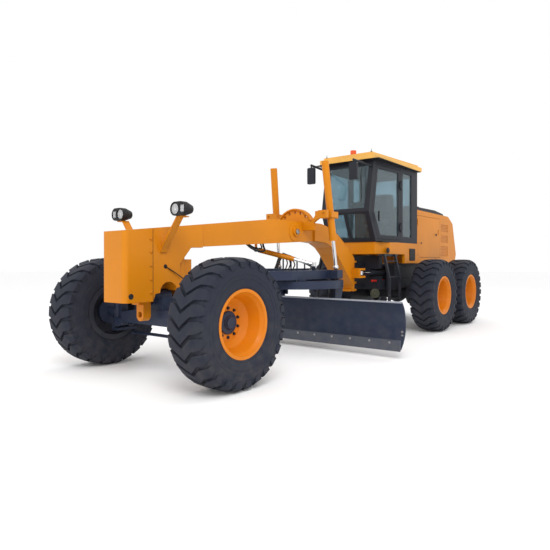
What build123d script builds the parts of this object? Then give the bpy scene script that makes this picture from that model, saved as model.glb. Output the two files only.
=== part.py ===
from build123d import *
import math
import os

# Motor grader: a long front frame hinged to a rear frame that carries the cab,
# the engine and four driven wheels. The blade hangs under the front frame.
# Every length is in millimetres. While it is modelled, Y = 0 lies on the front
# axle, +Y points to the rear, +X to the machine's left and +Z up from the floor.
# Each piece is moved at the end so that the origin lies under the middle of the box.

os.makedirs("parts", exist_ok=True)

# Wheels
tyre_diameter = 1350.0
tyre_width = 445.0
tyre_wall = 55.0
tread_bars = 26
tread_depth = 30.0
bar_share = 0.66
rim_flange_radius = 356.0
rim_face_offset = 200.0
rim_barrel_radius = 318.0
rim_disc_offset = -40.0
rear_disc_shift = 60.0
hub_radius = 118.0
bead_radius = 330.0
track = 2220.0
axle_z = tyre_diameter / 2.0
mid_wheel_y = 5530.0
tandem_tyre_gap = 190.0
rear_wheel_y = mid_wheel_y + tyre_diameter + tandem_tyre_gap

# Tandem cases
case_inner_x = track / 2.0 - 490.0
case_width = 170.0
case_radius = 190.0

# Overall length, set by the nose and the rear bumper
nose_front_y = -625.0
tail_y = 8440.0

# Fits and gaps
pin_clearance = 0.05
joint_gap = 8.0

# Front frame
nose_half_width = 205.0
nose_rear_y = -263.0
nose_bottom_z = 865.0
nose_corner_radius = 55.0
boom_half_width = 150.0
top_start_z = 1627.0
top_slope = 0.1137
boom_top_z = 1915.0
boom_start_z = 1470.0
boom_start_y = 291.0
boom_bottom_slope = 0.0600
neck_half_width = 180.0

# Tow lug under the nose
lug_y = -234.0
lug_length = 100.0
lug_z = 712.0
lug_radius = 62.0
lug_bore_radius = 33.0

# Head lamps and their brackets
lamp_x = 540.0
lamp_y = -130.0
lamp_z = 1865.0
lamp_width = 240.0
lamp_height = 150.0
lamp_depth = 150.0
lens_seat = 10.0
bracket_plate = 12.0
bracket_half_depth = 45.0

# Articulation pivot
pivot_y = 4300.0
tail_low_z = 770.0
tail_high_z = 1320.0
hinge_plate = 36.0
tongue_height = 84.0
tongue_gap = 6.0
hinge_end_radius = 120.0
pivot_pin_radius = 45.0
articulation_eye_x = 270.0
articulation_eye_y = 4220.0
articulation_z = 1100.0
articulation_anchor_x = 360.0
articulation_anchor_y = 5060.0

# Front axle
beam_low_z = axle_z - 75.0
beam_high_z = axle_z + 75.0
beam_half_depth = 95.0
pivot_boss_z = axle_z + 225.0
pivot_boss_radius = 90.0
kingpin_x = track / 2.0 - 280.0
kingpin_radius = 32.0
lean_pivot_x = kingpin_x - 105.0
lean_pivot_z = axle_z - 115.0
lean_pin_radius = 30.0
yoke_plate = 40.0
yoke_low_z = axle_z - 155.0
yoke_high_z = axle_z + 155.0
arm_ball_y = 225.0
arm_low_z = axle_z - 237.0
arm_high_z = arm_low_z + 32.0
tie_rod_z = axle_z - 280.0
lean_bar_y = 130.0
lean_bar_z = axle_z + 195.0
lean_ear_y = 96.0

# Arch through the pedestal over the axle's pivot
arch_y = -47.0
arch_z = pivot_boss_z + 55.0
arch_radius = 120.0

# Drawbar, circle and blade
ball_y = 330.0
ball_z = 930.0
ball_radius = 70.0
ball_stud_radius = 34.0
drawbar_low_z = 1040.0
drawbar_high_z = 1170.0
circle_y = 2600.0
circle_radius = 760.0
circle_inner_radius = 640.0
circle_wall_radius = 705.0
circle_low_z = 905.0
circle_high_z = 1020.0
blade_half_length = 1830.0
blade_low_z = 104.0
blade_high_z = 751.0
blade_plate = 20.0
blade_front_y = 2500.0
blade_depth = 150.0
rail_half = 1250.0
rail_rear_y = 2715.0
edge_height = 150.0
edge_plate = 18.0
carrier_pivot_y = 2900.0
carrier_pivot_z = 420.0
carrier_pin_radius = 30.0
carrier_x = 560.0

# Saddle, lift cylinders and side-swing cylinder
saddle_radius = 370.0
saddle_hole_circle = 310.0
lift_x = 530.0
lift_trunnion_y = 2810.0
lift_trunnion_z = 2020.0
lift_pin_radius = 24.0
lift_top_z = 2830.0
lift_ball_x = 560.0
lift_ball_y = 2920.0
lift_ball_z = 1215.0
lift_barrel_radius = 55.0
lift_gland_z = 1625.0
lift_rod_top_z = 2440.0
lift_rod_radius = 27.0
swing_base = (-330.0, 2060.0, 1490.0)
swing_eye = (390.0, 2560.0, 1262.0)
swing_eye_half = 30.0
swing_ball_radius = 40.0
swing_barrel_radius = 38.0
swing_rod_radius = 25.0
swing_bore_start = 60.0
swing_barrel_end = 600.0
swing_rod_start = 332.0
swing_eye_radius = 36.0
swing_lug_gap = 27.0
swing_lug_half = 30.0
swing_lug_plate = 18.0

# Rear frame and bumper
rail_x = 340.0
rail_half_width = 60.0
bumper_front_y = tail_y - 170.0
bumper_half_width = 620.0
bumper_low_z = 760.0
bumper_high_z = 1180.0
hitch_z = 680.0
hitch_bore_radius = 30.0

# Hood
hood_half_width = 520.0
hood_front_y = 6010.0
hood_low_z = 1270.0
hood_side_z = 2350.0
hood_skin = 30.0
grille_low_z = 1480.0
grille_high_z = 2000.0
louvre_front_y = tail_y - 990.0
louvre_rear_y = tail_y - 560.0
louvre_pitch = 35.0
louvre_depth = 12.0

# Cab
cab_front_y = 4340.0
cab_knee_y = 4100.0
cab_knee_z = 2190.0
cab_top_front_y = 4270.0
cab_rear_y = 5930.0
cab_floor_z = 1660.0
roof_high_z = 3235.0
cab_roof_z = roof_high_z - 125.0
cab_front_half = 490.0
cab_rear_half = 600.0
cab_wall = 48.0
cab_reach = 900.0
base_low_z = 1440.0
door_rear_y = 5230.0
door_low_z = cab_floor_z + 50.0
door_high_z = cab_roof_z - 70.0
mirror_place = (cab_front_half - 60.0, cab_knee_y - 420.0, cab_roof_z - 280.0)
mirror_half_width = 75.0
mirror_half_height = 145.0
ladder_length = 470.0

# Door hinges
hinge_length = 110.0
cab_hinge_radius = 12.0
hood_hinge_radius = 10.0
cab_hinge_y = door_rear_y + 3.0
hood_hinge_x = hood_half_width + 12.0
hood_hinge_y = hood_front_y + 111.0

length_middle_y = (nose_front_y + tail_y) / 2.0


def block(x_low, x_high, y_low, y_high, z_low, z_high):
    """A box between two corners."""
    middle = ((x_low + x_high) / 2.0, (y_low + y_high) / 2.0, (z_low + z_high) / 2.0)
    return Pos(*middle) * Box(x_high - x_low, y_high - y_low, z_high - z_low)


def face_yz(points):
    """A face in the YZ plane from (y, z) corners."""
    corners = [(0.0, y, z) for y, z in points]
    return Face(Wire.make_polygon(corners, close=True))


def prism_x(points, x_low, x_high):
    """A side profile of (y, z) corners carried across the machine."""
    return Pos(x_low, 0, 0) * extrude(face_yz(points), x_high - x_low, dir=(1, 0, 0))


def prism_y(points, y_low, y_high):
    """A cross-section of (x, z) corners carried along the machine."""
    corners = [(x, 0.0, z) for x, z in points]
    face = Face(Wire.make_polygon(corners, close=True))
    return Pos(0, y_low, 0) * extrude(face, y_high - y_low, dir=(0, 1, 0))


def prism_z(points, z_low, z_high):
    """A plan outline of (x, y) corners carried upwards."""
    corners = [(x, y, 0.0) for x, y in points]
    face = Face(Wire.make_polygon(corners, close=True))
    return Pos(0, 0, z_low) * extrude(face, z_high - z_low, dir=(0, 0, 1))


def rod_between(start, end, radius):
    """A round bar from one point to another."""
    start = Vector(*start)
    axis = Vector(*end) - start
    plane = Plane(origin=start, z_dir=axis.normalized())
    return plane * Cylinder(radius, axis.length, align=(Align.CENTER, Align.CENTER, Align.MIN))


def disc_x(x_low, x_high, y, z, radius):
    """A round bar across the machine."""
    return rod_between((x_low, y, z), (x_high, y, z), radius)


def disc_z(x, y, z_low, z_high, radius):
    """An upright round bar."""
    return rod_between((x, y, z_low), (x, y, z_high), radius)


def along(start, end, distance):
    """The point at a distance from start towards end."""
    start = Vector(*start)
    direction = (Vector(*end) - start).normalized()
    point = start + direction * distance
    return (point.X, point.Y, point.Z)


def mirrored(shape):
    """The same piece on the machine's other side."""
    return mirror(shape, about=Plane.YZ)


def both_sides(shape):
    """A piece and its mirror image, as one set of solids."""
    return shape + mirrored(shape)


pieces = {}


def keep(name, shape):
    """Store a finished piece under its plain name."""
    pieces[name] = shape


def ring_section(radius, x_position):
    """One polygon of the tyre, with a corner under each tread bar."""
    points = []
    for index in range(tread_bars):
        angle = 2.0 * math.pi * index / tread_bars
        points.append((x_position, radius * math.cos(angle), radius * math.sin(angle)))
    return Wire.make_polygon(points, close=True)


def tyre_shell(table):
    """A closed tyre form through a short table of (x, radius)."""
    sections = [ring_section(radius, x_position) for x_position, radius in table]
    return Solid.make_loft(sections, ruled=True)


def tread_bar():
    """One arrow-shaped bar of the tread, cut from the tyre form afterwards."""
    outer = tyre_diameter / 2.0
    half = tyre_width / 2.0 + 1.0
    pitch = math.pi * tyre_diameter / tread_bars
    width = pitch * bar_share
    drop = 0.62 * pitch
    outline = [
        (0.0, width / 2.0),
        (half, width / 2.0 - drop),
        (half, -width / 2.0 - drop),
        (0.0, -width / 2.0),
        (-half, -width / 2.0 - drop),
        (-half, width / 2.0 - drop),
    ]
    return prism_z(outline, 0.80 * outer, outer + 5.0)


def make_tyre():
    """Tyre with its axis along X, centred on the origin and hollow inside."""
    outer = tyre_diameter / 2.0
    half = tyre_width / 2.0
    flat = math.cos(math.pi / tread_bars)
    crown = outer / flat
    floor = (outer - tread_depth) / flat
    # x as a share of half the width, and radius
    form = [(-0.80, bead_radius), (-1.0, 0.72 * crown), (-1.0, 0.88 * crown), (-0.78, crown)]
    carcass = [(-0.80, bead_radius), (-1.0, 0.72 * crown), (-0.97, 0.84 * crown), (-0.76, floor)]
    chamber = [(-0.64, 0.78 * crown), (-0.52, floor - tyre_wall)]
    solids = []
    for table in (form, carcass, chamber):
        left = [(share * half, radius) for share, radius in table]
        right = [(-x, radius) for x, radius in reversed(left)]
        solids.append(tyre_shell(left + right))
    envelope, body, hollow = solids
    bars = []
    for index in range(tread_bars):
        bars.append(Rot((index + 0.5) * 360.0 / tread_bars, 0, 0) * tread_bar())
    tread = Compound(bars) & envelope
    tyre = Part() + body + list(tread.solids())
    bore = disc_x(-tyre_width, tyre_width, 0.0, 0.0, bead_radius + pin_clearance)
    return tyre - hollow - bore


def make_rim(disc_x_offset):
    """Dished rim with its axis along X and its open side towards +X."""
    half = tyre_width / 2.0
    seat = bead_radius
    inner = rim_barrel_radius - 24.0
    profile = [
        (-0.80 * half - 4.0, seat),
        (-0.80 * half - 15.0, rim_flange_radius),
        (-0.80 * half - 26.0, rim_flange_radius),
        (-0.80 * half - 26.0, inner),
        (disc_x_offset - 14.0, inner - 8.0),
        (disc_x_offset - 14.0, hub_radius),
        (disc_x_offset + 8.0, hub_radius),
        (disc_x_offset + 8.0, 190.0),
        (disc_x_offset + 60.0, inner - 40.0),
        (0.80 * half - 30.0, inner),
        (0.80 * half + 6.0, inner + 22.0),
        (rim_face_offset, inner + 30.0),
        (rim_face_offset, rim_flange_radius),
        (0.80 * half + 14.0, rim_flange_radius),
        (0.80 * half + 4.0, seat),
    ]
    corners = [(x, radius, 0.0) for x, radius in profile]
    face = Face(Wire.make_polygon(corners, close=True))
    return revolve(face, Axis.X, 360.0)


def add_wheels():
    """Six wheels: tyres and rims, with the open side of each rim outwards."""
    tyre = make_tyre()
    # name, side, y, disc offset of the rim
    places = [
        ("front_left", 1, 0.0, rim_disc_offset),
        ("front_right", -1, 0.0, rim_disc_offset),
        ("mid_left", 1, mid_wheel_y, rim_disc_offset - rear_disc_shift),
        ("mid_right", -1, mid_wheel_y, rim_disc_offset - rear_disc_shift),
        ("rear_left", 1, rear_wheel_y, rim_disc_offset - rear_disc_shift),
        ("rear_right", -1, rear_wheel_y, rim_disc_offset - rear_disc_shift),
    ]
    for name, side, y, disc_offset in places:
        turned = Rot(0, 0, 0 if side > 0 else 180)
        place = Pos(side * track / 2.0, y, tyre_diameter / 2.0)
        keep("tyre_" + name, place * tyre if side > 0 else place * mirrored(tyre))
        keep("rim_" + name, place * turned * make_rim(disc_offset))


def boom_top(y):
    """Height of the front frame's top at a place along it."""
    return min(boom_top_z, top_start_z + top_slope * (y - nose_front_y))


def boom_bottom(y):
    """Height of the boom's underside at a place along it."""
    return boom_start_z + boom_bottom_slope * (y - boom_start_y)


def hinge_plate_heights():
    """Lower faces of the four plates that hold the pivot pin."""
    step = 2.0 * hinge_plate + tongue_height + 2.0 * tongue_gap
    return [tail_low_z, tail_low_z + step - hinge_plate, tail_high_z - step, tail_high_z - hinge_plate]


def make_boss_plate():
    """Round plate on the boom's left side over the pin of the saddle's lock, with its boss."""
    y = 2410.0
    z = (boom_top_z + boom_bottom(y)) / 2.0
    face = boom_half_width
    plate = disc_x(face - 5.0, face + 10.0, y, z, 150.0)
    boss = disc_x(face - 5.0, face + 38.0, y, z, 72.0)
    pin = disc_x(face - 5.0, face + 50.0, y, z, 34.0)
    return plate + boss + pin


def make_lamp_bracket():
    """Left lamp's bracket: a bent strip that rises from the pedestal's side to a flat seat."""
    foot_x = nose_half_width
    seat_z = lamp_z - lamp_height / 2.0
    strip = prism_y(
        [
            (foot_x - 5.0, seat_z - 385.0),
            (foot_x + 20.0, seat_z - 385.0),
            (foot_x + 34.0, seat_z - 350.0),
            (lamp_x - 45.0, seat_z - bracket_plate),
            (lamp_x + 50.0, seat_z - bracket_plate),
            (lamp_x + 50.0, seat_z - 0.5),
            (lamp_x - 55.0, seat_z - 0.5),
            (foot_x + 16.0, seat_z - 335.0),
            (foot_x + 12.0, seat_z - 290.0),
            (foot_x - 5.0, seat_z - 290.0),
        ],
        lamp_y - bracket_half_depth,
        lamp_y + bracket_half_depth,
    )
    return strip


def make_articulation_ears():
    """Left pair of ears that hold the articulation cylinder's rod eye."""
    ear_low = articulation_z - 85.0
    ear_high = articulation_z + 49.0
    reach = articulation_eye_x + 60.0
    ears = Part()
    for z in (ear_low, ear_high):
        ears = ears + block(
            neck_half_width - 10.0,
            reach,
            articulation_eye_y - 130.0,
            articulation_eye_y + 60.0,
            z,
            z + hinge_plate,
        )
    return ears + block(
        neck_half_width - 10.0,
        reach,
        articulation_eye_y - 170.0,
        articulation_eye_y - 110.0,
        ear_low,
        ear_high + hinge_plate,
    )


def make_ball_seat():
    """Boss under the pedestal for the drawbar's ball stud, and the axle's rear hanger."""
    seat = block(-90.0, 90.0, 60.0, ball_y + 60.0, ball_z + 130.0, 1330.0)
    seat = seat + block(-150.0, 150.0, 60.0, 230.0, ball_z + 130.0, 1400.0)
    seat = seat - disc_z(0.0, ball_y, ball_z, ball_z + 260.0, ball_stud_radius + pin_clearance)
    return seat + block(-110.0, 110.0, 165.0, 205.0, 820.0, 1250.0)


def make_swing_bracket():
    """Plate under the boom with the cupped post that the swing cylinder's ball turns in."""
    x, y, z = swing_base
    plate_z = z + 115.0
    plate = block(x - 60.0, -boom_half_width + 50.0, y - 75.0, y + 75.0, plate_z, plate_z + 50.0)
    post = disc_z(x, y, z + 30.0, plate_z + 10.0, 20.0)
    return plate + (post - Pos(x, y, z) * Sphere(swing_ball_radius + 1.0))


def make_front_frame():
    """Pedestal over the axle, boom, gooseneck and the tail that holds the pivot pin."""
    level_y = nose_front_y + (boom_top_z - top_start_z) / top_slope
    foot_y = boom_start_y + 180.0
    pedestal = prism_x(
        [
            (nose_rear_y, boom_top(nose_rear_y)),
            (nose_rear_y, nose_bottom_z),
            (-230.0, 949.0),
            (127.0, 979.0),
            (115.0, 1275.0),
            (boom_start_y, boom_start_z),
            (foot_y, boom_bottom(boom_start_y)),
            (foot_y, boom_top(foot_y)),
        ],
        -nose_half_width,
        nose_half_width,
    )
    pedestal = pedestal - disc_x(-nose_half_width - 5.0, nose_half_width + 5.0, arch_y, arch_z, arch_radius)
    pedestal = pedestal - block(
        -nose_half_width - 5.0,
        nose_half_width + 5.0,
        arch_y - arch_radius,
        arch_y + arch_radius,
        arch_z - 115.0,
        arch_z,
    )
    boom = prism_x(
        [
            (100.0, boom_top(100.0)),
            (100.0, 1300.0),
            (boom_start_y, boom_start_z),
            (2850.0, boom_bottom(2850.0)),
            (3300.0, boom_bottom(2850.0) + 10.0),
            (3300.0, boom_top_z - 45.0),
            (3100.0, boom_top_z),
            (level_y, boom_top_z),
        ],
        -boom_half_width,
        boom_half_width,
    )
    # the gooseneck bends down in short straight plates, as the welded one does
    plate_y = pivot_y - 150.0
    neck = prism_x(
        [
            (2900.0, boom_top_z),
            (2900.0, boom_bottom(2900.0) + 6.0),
            (3240.0, 1610.0),
            (3420.0, 1540.0),
            (3560.0, 1430.0),
            (plate_y - 30.0, 870.0),
            (plate_y, tail_low_z),
            (plate_y, tail_high_z + 45.0),
            (4065.0, 1440.0),
            (3790.0, 1630.0),
            (3600.0, 1755.0),
            (3330.0, boom_top_z - 50.0),
            (3080.0, boom_top_z),
        ],
        -neck_half_width,
        neck_half_width,
    )
    frame = pedestal + boom + neck + make_boss_plate()
    for z in hinge_plate_heights():
        plate = block(-hinge_end_radius, hinge_end_radius, pivot_y - 200.0, pivot_y, z, z + hinge_plate)
        frame = frame + plate + disc_z(0.0, pivot_y, z, z + hinge_plate, hinge_end_radius)
    frame = frame + disc_z(0.0, pivot_y, tail_low_z, tail_high_z, pivot_pin_radius)
    frame = frame + both_sides(make_articulation_ears())
    frame = frame + make_ball_seat() + both_sides(make_lamp_bracket())
    groove_start = (0, nose_rear_y + 101.0, pivot_boss_z)
    groove = rod_between(groove_start, (0, 155.0, pivot_boss_z), pivot_boss_radius + 2.0)
    return (frame - groove) + make_swing_bracket()


def make_nose_box():
    """Bolted box at the very front, with the tow lug on its rear edge."""
    rear = nose_rear_y - 0.5
    profile = [
        (nose_front_y, nose_bottom_z),
        (rear, nose_bottom_z),
        (rear, boom_top(rear)),
        (nose_front_y, boom_top(nose_front_y)),
    ]
    body = prism_x(profile, -nose_half_width, nose_half_width)
    upright = body.edges().filter_by(Axis.Z).group_by(Axis.Y)[0]
    body = fillet(upright, nose_corner_radius)
    front = lug_y - lug_length / 2.0
    back = lug_y + lug_length / 2.0
    top = nose_bottom_z - 0.5
    middle = lug_z - 12.0
    lug = block(-lug_radius, lug_radius, front, back, middle, top)
    lug = lug + block(-lug_radius, lug_radius, front - 60.0, rear, top - 40.0, nose_bottom_z + 30.0)
    lug = lug + rod_between((0, front, middle), (0, back, middle), lug_radius)
    return body + (lug - rod_between((0, front - 5.0, lug_z), (0, back + 5.0, lug_z), lug_bore_radius))


def make_saddle():
    """Half-round lock plate over the boom with arms out to the lift cylinders."""
    plate_y = lift_trunnion_y - 170.0
    half_plate = 30.0
    centre_z = boom_top_z - 155.0
    front = plate_y - half_plate
    rear = plate_y + half_plate
    plate = rod_between((0, front, centre_z), (0, rear, centre_z), saddle_radius)
    plate = plate - block(-400.0, 400.0, front - 10.0, rear + 10.0, centre_z - 400.0, centre_z + 20.0)
    for index in range(7):
        angle = math.radians(30.0 + 20.0 * index)
        x = saddle_hole_circle * math.cos(angle)
        z = centre_z + saddle_hole_circle * math.sin(angle)
        plate = plate - rod_between((x, front - 10.0, z), (x, rear + 10.0, z), 24.0)
    # a rim stands out in front of the plate, as the welded half ring does
    rim = rod_between((0, front - 28.0, centre_z), (0, front + 5.0, centre_z), saddle_radius)
    rim = rim - rod_between((0, front - 38.0, centre_z), (0, front + 6.0, centre_z), saddle_radius - 22.0)
    rim = rim - block(-400.0, 400.0, front - 40.0, front + 10.0, centre_z - 400.0, boom_top_z + 20.0)
    gap = boom_half_width + 0.5
    boom_cut = block(-gap, gap, front - 50.0, rear + 20.0, centre_z - 300.0, boom_top_z + 0.5)
    plate = (plate + rim) - boom_cut
    low = lift_trunnion_z - 60.0
    high = lift_trunnion_z + 60.0
    arm = prism_y(
        [
            (gap, centre_z + 20.0),
            (lift_x - 95.0, low),
            (lift_x + 55.0, low),
            (lift_x + 55.0, high),
            (lift_x - 95.0, high),
            (340.0, centre_z + 190.0),
            (gap, centre_z + 150.0),
        ],
        front,
        rear,
    )
    bridge_x = lift_x - 150.0
    tie_y = lift_trunnion_y + 95.0
    bridge = block(bridge_x, lift_x - 102.0, front, tie_y + 40.0, low + 10.0, high - 10.0)
    tie = block(bridge_x, lift_x + 55.0, tie_y, tie_y + 40.0, low + 10.0, high - 10.0)
    bore = rod_between(
        (lift_x, front - 30.0, lift_trunnion_z),
        (lift_x, tie_y + 65.0, lift_trunnion_z),
        lift_pin_radius + pin_clearance,
    )
    return plate + both_sides((arm + bridge + tie) - bore)


def slot_face(width, height, y):
    """A face with round ends, seen from the front, at a place along the machine."""
    plane = Plane(origin=(0, y, 0), x_dir=(1, 0, 0), z_dir=(0, -1, 0))
    return (plane * SlotOverall(width, height)).face()


def make_headlamp():
    """Left lamp body: an oval front with two lens seats and a back that narrows."""
    front_y = -lamp_depth / 2.0
    step_y = front_y + lamp_depth * 0.45
    body = extrude(slot_face(lamp_width, lamp_height, step_y), step_y - front_y, dir=(0, -1, 0))
    back = loft(
        [
            slot_face(lamp_width, lamp_height, step_y - 1.0),
            slot_face(lamp_width * 0.72, lamp_height * 0.62, -front_y),
        ],
        ruled=True,
    )
    lens_x = -lamp_width * 0.20
    round_seat = rod_between((lens_x, front_y - 5.0, 0), (lens_x, front_y + lens_seat, 0), lamp_height * 0.40)
    side_seat = block(
        lamp_width * 0.16,
        lamp_width * 0.42,
        front_y - 5.0,
        front_y + lens_seat,
        -lamp_height * 0.27,
        lamp_height * 0.27,
    )
    return Pos(lamp_x, lamp_y, lamp_z) * ((body + back) - round_seat - side_seat)


def make_front_axle():
    """Axle beam with its centre pivot boss and the ears for the lean brackets."""
    half = lean_pivot_x - 80.0
    beam = prism_y(
        [
            (-half, beam_low_z - 30.0),
            (half, beam_low_z - 30.0),
            (half, beam_high_z - 60.0),
            (260.0, beam_high_z),
            (-260.0, beam_high_z),
            (-half, beam_high_z - 60.0),
        ],
        -beam_half_depth,
        beam_half_depth,
    )
    boss = block(-140.0, 140.0, -85.0, 85.0, beam_high_z - 20.0, pivot_boss_z)
    boss = boss + rod_between((0, -150.0, pivot_boss_z), (0, 98.0, pivot_boss_z), pivot_boss_radius)
    beam = beam + boss
    ear_plate = 40.0
    for y in (-beam_half_depth, beam_half_depth - ear_plate):
        ear = block(half - 30.0, lean_pivot_x, y, y + ear_plate, lean_pivot_z - 35.0, lean_pivot_z + 50.0)
        pin_end = (lean_pivot_x, y + ear_plate, lean_pivot_z)
        ear = ear + rod_between((lean_pivot_x, y, lean_pivot_z), pin_end, 55.0)
        beam = beam + both_sides(ear)
    reach = beam_half_depth + 100.0
    bore = rod_between(
        (lean_pivot_x, -reach, lean_pivot_z),
        (lean_pivot_x, reach, lean_pivot_z),
        lean_pin_radius + pin_clearance,
    )
    return beam - both_sides(bore)


def make_lean_bracket():
    """Upright bracket that tips the wheel, with its pin and its link ear."""
    inner_y = beam_half_depth - 40.0 - joint_gap
    eye = rod_between((lean_pivot_x, -inner_y, lean_pivot_z), (lean_pivot_x, inner_y, lean_pivot_z), 46.0)
    pin = rod_between(
        (lean_pivot_x, -beam_half_depth, lean_pivot_z),
        (lean_pivot_x, beam_half_depth, lean_pivot_z),
        lean_pin_radius,
    )
    post = block(lean_pivot_x - 30.0, lean_pivot_x + 35.0, -inner_y, inner_y, lean_pivot_z, lean_bar_z)
    ear = rod_between((lean_pivot_x, 0.0, lean_bar_z), (lean_pivot_x, lean_ear_y, lean_bar_z), 38.0)
    bracket = post + eye + pin + ear
    for z in (yoke_low_z, yoke_high_z - yoke_plate):
        bracket = bracket + block(lean_pivot_x, kingpin_x, -inner_y, inner_y, z, z + yoke_plate)
        bracket = bracket + disc_z(kingpin_x, 0.0, z, z + yoke_plate, inner_y)
    return bracket + disc_z(kingpin_x, 0.0, yoke_low_z, yoke_high_z, kingpin_radius)


def make_knuckle():
    """Steering knuckle round the kingpin, with its spindle and steering arm."""
    sleeve_low = yoke_low_z + yoke_plate + joint_gap
    sleeve_high = yoke_high_z - yoke_plate - joint_gap
    sleeve = disc_z(kingpin_x, 0.0, sleeve_low, sleeve_high, 50.0)
    spindle_end = track / 2.0 + rim_disc_offset
    spindle = disc_x(kingpin_x, spindle_end + 60.0, 0.0, axle_z, 58.0)
    flange = disc_x(spindle_end - 75.0, spindle_end - 22.0, 0.0, axle_z, hub_radius + 40.0)
    web = block(kingpin_x + 60.0, kingpin_x + 100.0, -35.0, 35.0, arm_low_z, axle_z)
    arm = block(kingpin_x - 30.0, kingpin_x + 30.0, 0.0, arm_ball_y, arm_low_z, arm_high_z)
    arm = arm + block(kingpin_x - 30.0, kingpin_x + 100.0, -35.0, 35.0, arm_low_z, arm_high_z)
    arm = arm + disc_z(kingpin_x, arm_ball_y, arm_low_z, arm_high_z, 36.0)
    knuckle = sleeve + spindle + flange + web + arm
    knuckle = knuckle - disc_z(kingpin_x, 0.0, arm_high_z + 1.0, yoke_high_z, kingpin_radius + pin_clearance)
    return knuckle - disc_z(kingpin_x, arm_ball_y, arm_low_z - 5.0, arm_high_z + 5.0, 16.0 + pin_clearance)


def make_tie_ball():
    """Ball stud under the left steering arm that the tie rod tips on."""
    stud = disc_z(kingpin_x, arm_ball_y, tie_rod_z, arm_high_z, 16.0)
    return stud + rod_between(
        (kingpin_x, arm_ball_y - 34.0, tie_rod_z), (kingpin_x, arm_ball_y + 34.0, tie_rod_z), 20.0
    )


def make_tie_rod():
    """Rod that ties the two steering arms together."""
    tube = disc_x(-kingpin_x, kingpin_x - 30.0, arm_ball_y, tie_rod_z, 20.0)
    eye = rod_between(
        (kingpin_x, arm_ball_y - 26.0, tie_rod_z), (kingpin_x, arm_ball_y + 26.0, tie_rod_z), 32.0
    )
    bore = rod_between(
        (kingpin_x, arm_ball_y - 60.0, tie_rod_z),
        (kingpin_x, arm_ball_y + 60.0, tie_rod_z),
        20.0 + pin_clearance,
    )
    slot = disc_z(kingpin_x, arm_ball_y, tie_rod_z, tie_rod_z + 60.0, 24.0)
    far_eye = Pos(-kingpin_x, arm_ball_y, tie_rod_z) * Sphere(30.0)
    return (tube + eye) - bore - slot + far_eye


def make_lean_bar():
    """Bar that tips both wheels together."""
    tube = disc_x(-lean_pivot_x, lean_pivot_x, lean_bar_y, lean_bar_z, 24.0)
    eye = rod_between(
        (lean_pivot_x, lean_bar_y - 26.0, lean_bar_z), (lean_pivot_x, lean_bar_y + 26.0, lean_bar_z), 38.0
    )
    return tube + both_sides(eye)


def make_drawbar_ball():
    """Ball at the drawbar's nose, with the stud that turns in the front frame."""
    ball = Pos(0, ball_y, ball_z) * Sphere(ball_radius)
    stud = disc_z(0.0, ball_y, ball_z + 40.0, ball_z + 250.0, ball_stud_radius)
    collar = disc_z(0.0, ball_y, ball_z + 55.0, ball_z + 130.0 - joint_gap, 48.0)
    return ball + stud + collar


def make_drawbar():
    """A-frame with its socket, cross members, gear case, hose guard and lift ears."""
    socket = rod_between((0, ball_y, ball_z - 68.0), (0, ball_y, ball_z + 40.0), ball_radius + 35.0)
    socket = socket - Pos(0, ball_y, ball_z) * Sphere(ball_radius + 0.5)
    low = drawbar_low_z
    high = drawbar_high_z
    neck = prism_x(
        [
            (ball_y + 75.0, ball_z - 60.0),
            (ball_y + 75.0, ball_z + 40.0),
            (ball_y + 420.0, high - 20.0),
            (ball_y + 460.0, low - 20.0),
        ],
        -70.0,
        70.0,
    )
    start = ball_y + 330.0
    front_y = circle_y - 700.0
    rear_y = circle_y + 650.0
    outer_x = 470.0
    inner_x = 350.0
    beam = prism_z(
        [
            (30.0, start),
            (110.0, start),
            (outer_x, front_y),
            (outer_x, rear_y),
            (inner_x, rear_y),
            (inner_x, front_y + 60.0),
        ],
        low,
        high,
    )
    frame = socket + neck + both_sides(beam)
    for y in (front_y, circle_y - 40.0, rear_y - 90.0):
        frame = frame + block(-outer_x, outer_x, y, y + 110.0, low, high)
    gear_y = circle_y - 520.0
    frame = frame + disc_z(0.0, gear_y, low, high + 30.0, 150.0)
    frame = frame + block(-inner_x - 10.0, inner_x + 10.0, gear_y - 80.0, gear_y + 80.0, low, high)
    outrigger = block(
        outer_x - 30.0, lift_ball_x + 70.0, lift_ball_y - 70.0, lift_ball_y + 70.0, low, drawbar_high_z
    )
    frame = frame + both_sides(outrigger)
    shoe_in = circle_inner_radius - 80.0
    shoe_low = circle_high_z - 75.0
    for angle in (45.0, 135.0, 225.0, 315.0):
        post = block(shoe_in, circle_inner_radius - 10.0, -60.0, 60.0, shoe_low, low + 30.0)
        lip = block(shoe_in, circle_inner_radius + 52.0, -60.0, 60.0, shoe_low, shoe_low + 32.0)
        pad = block(shoe_in, circle_inner_radius + 60.0, -60.0, 60.0, circle_high_z + 6.0, low + 30.0)
        frame = frame + Pos(0, circle_y, 0) * Rot(0, 0, angle) * (post + lip + pad)
    pinion_y = circle_y - circle_inner_radius + 82.0
    frame = frame + disc_z(0.0, pinion_y, circle_high_z - 60.0, circle_high_z + 60.0, 62.0)
    return frame + make_hose_guard() + make_swing_lug()


def make_swing_lug():
    """Upright cheek beside the eye of the side-swing rod, clear of it at every stroke."""
    eye_x, eye_y, eye_z = swing_eye
    turn = math.degrees(math.atan2(eye_y - swing_base[1], eye_x - swing_base[0]))
    near = swing_eye_radius + swing_lug_gap
    top = eye_z + swing_eye_half
    cheek = block(-swing_lug_half, swing_lug_half, near, near + swing_lug_plate, drawbar_high_z - 10.0, top)
    return Pos(eye_x, eye_y, 0) * Rot(0, 0, turn) * cheek


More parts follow.
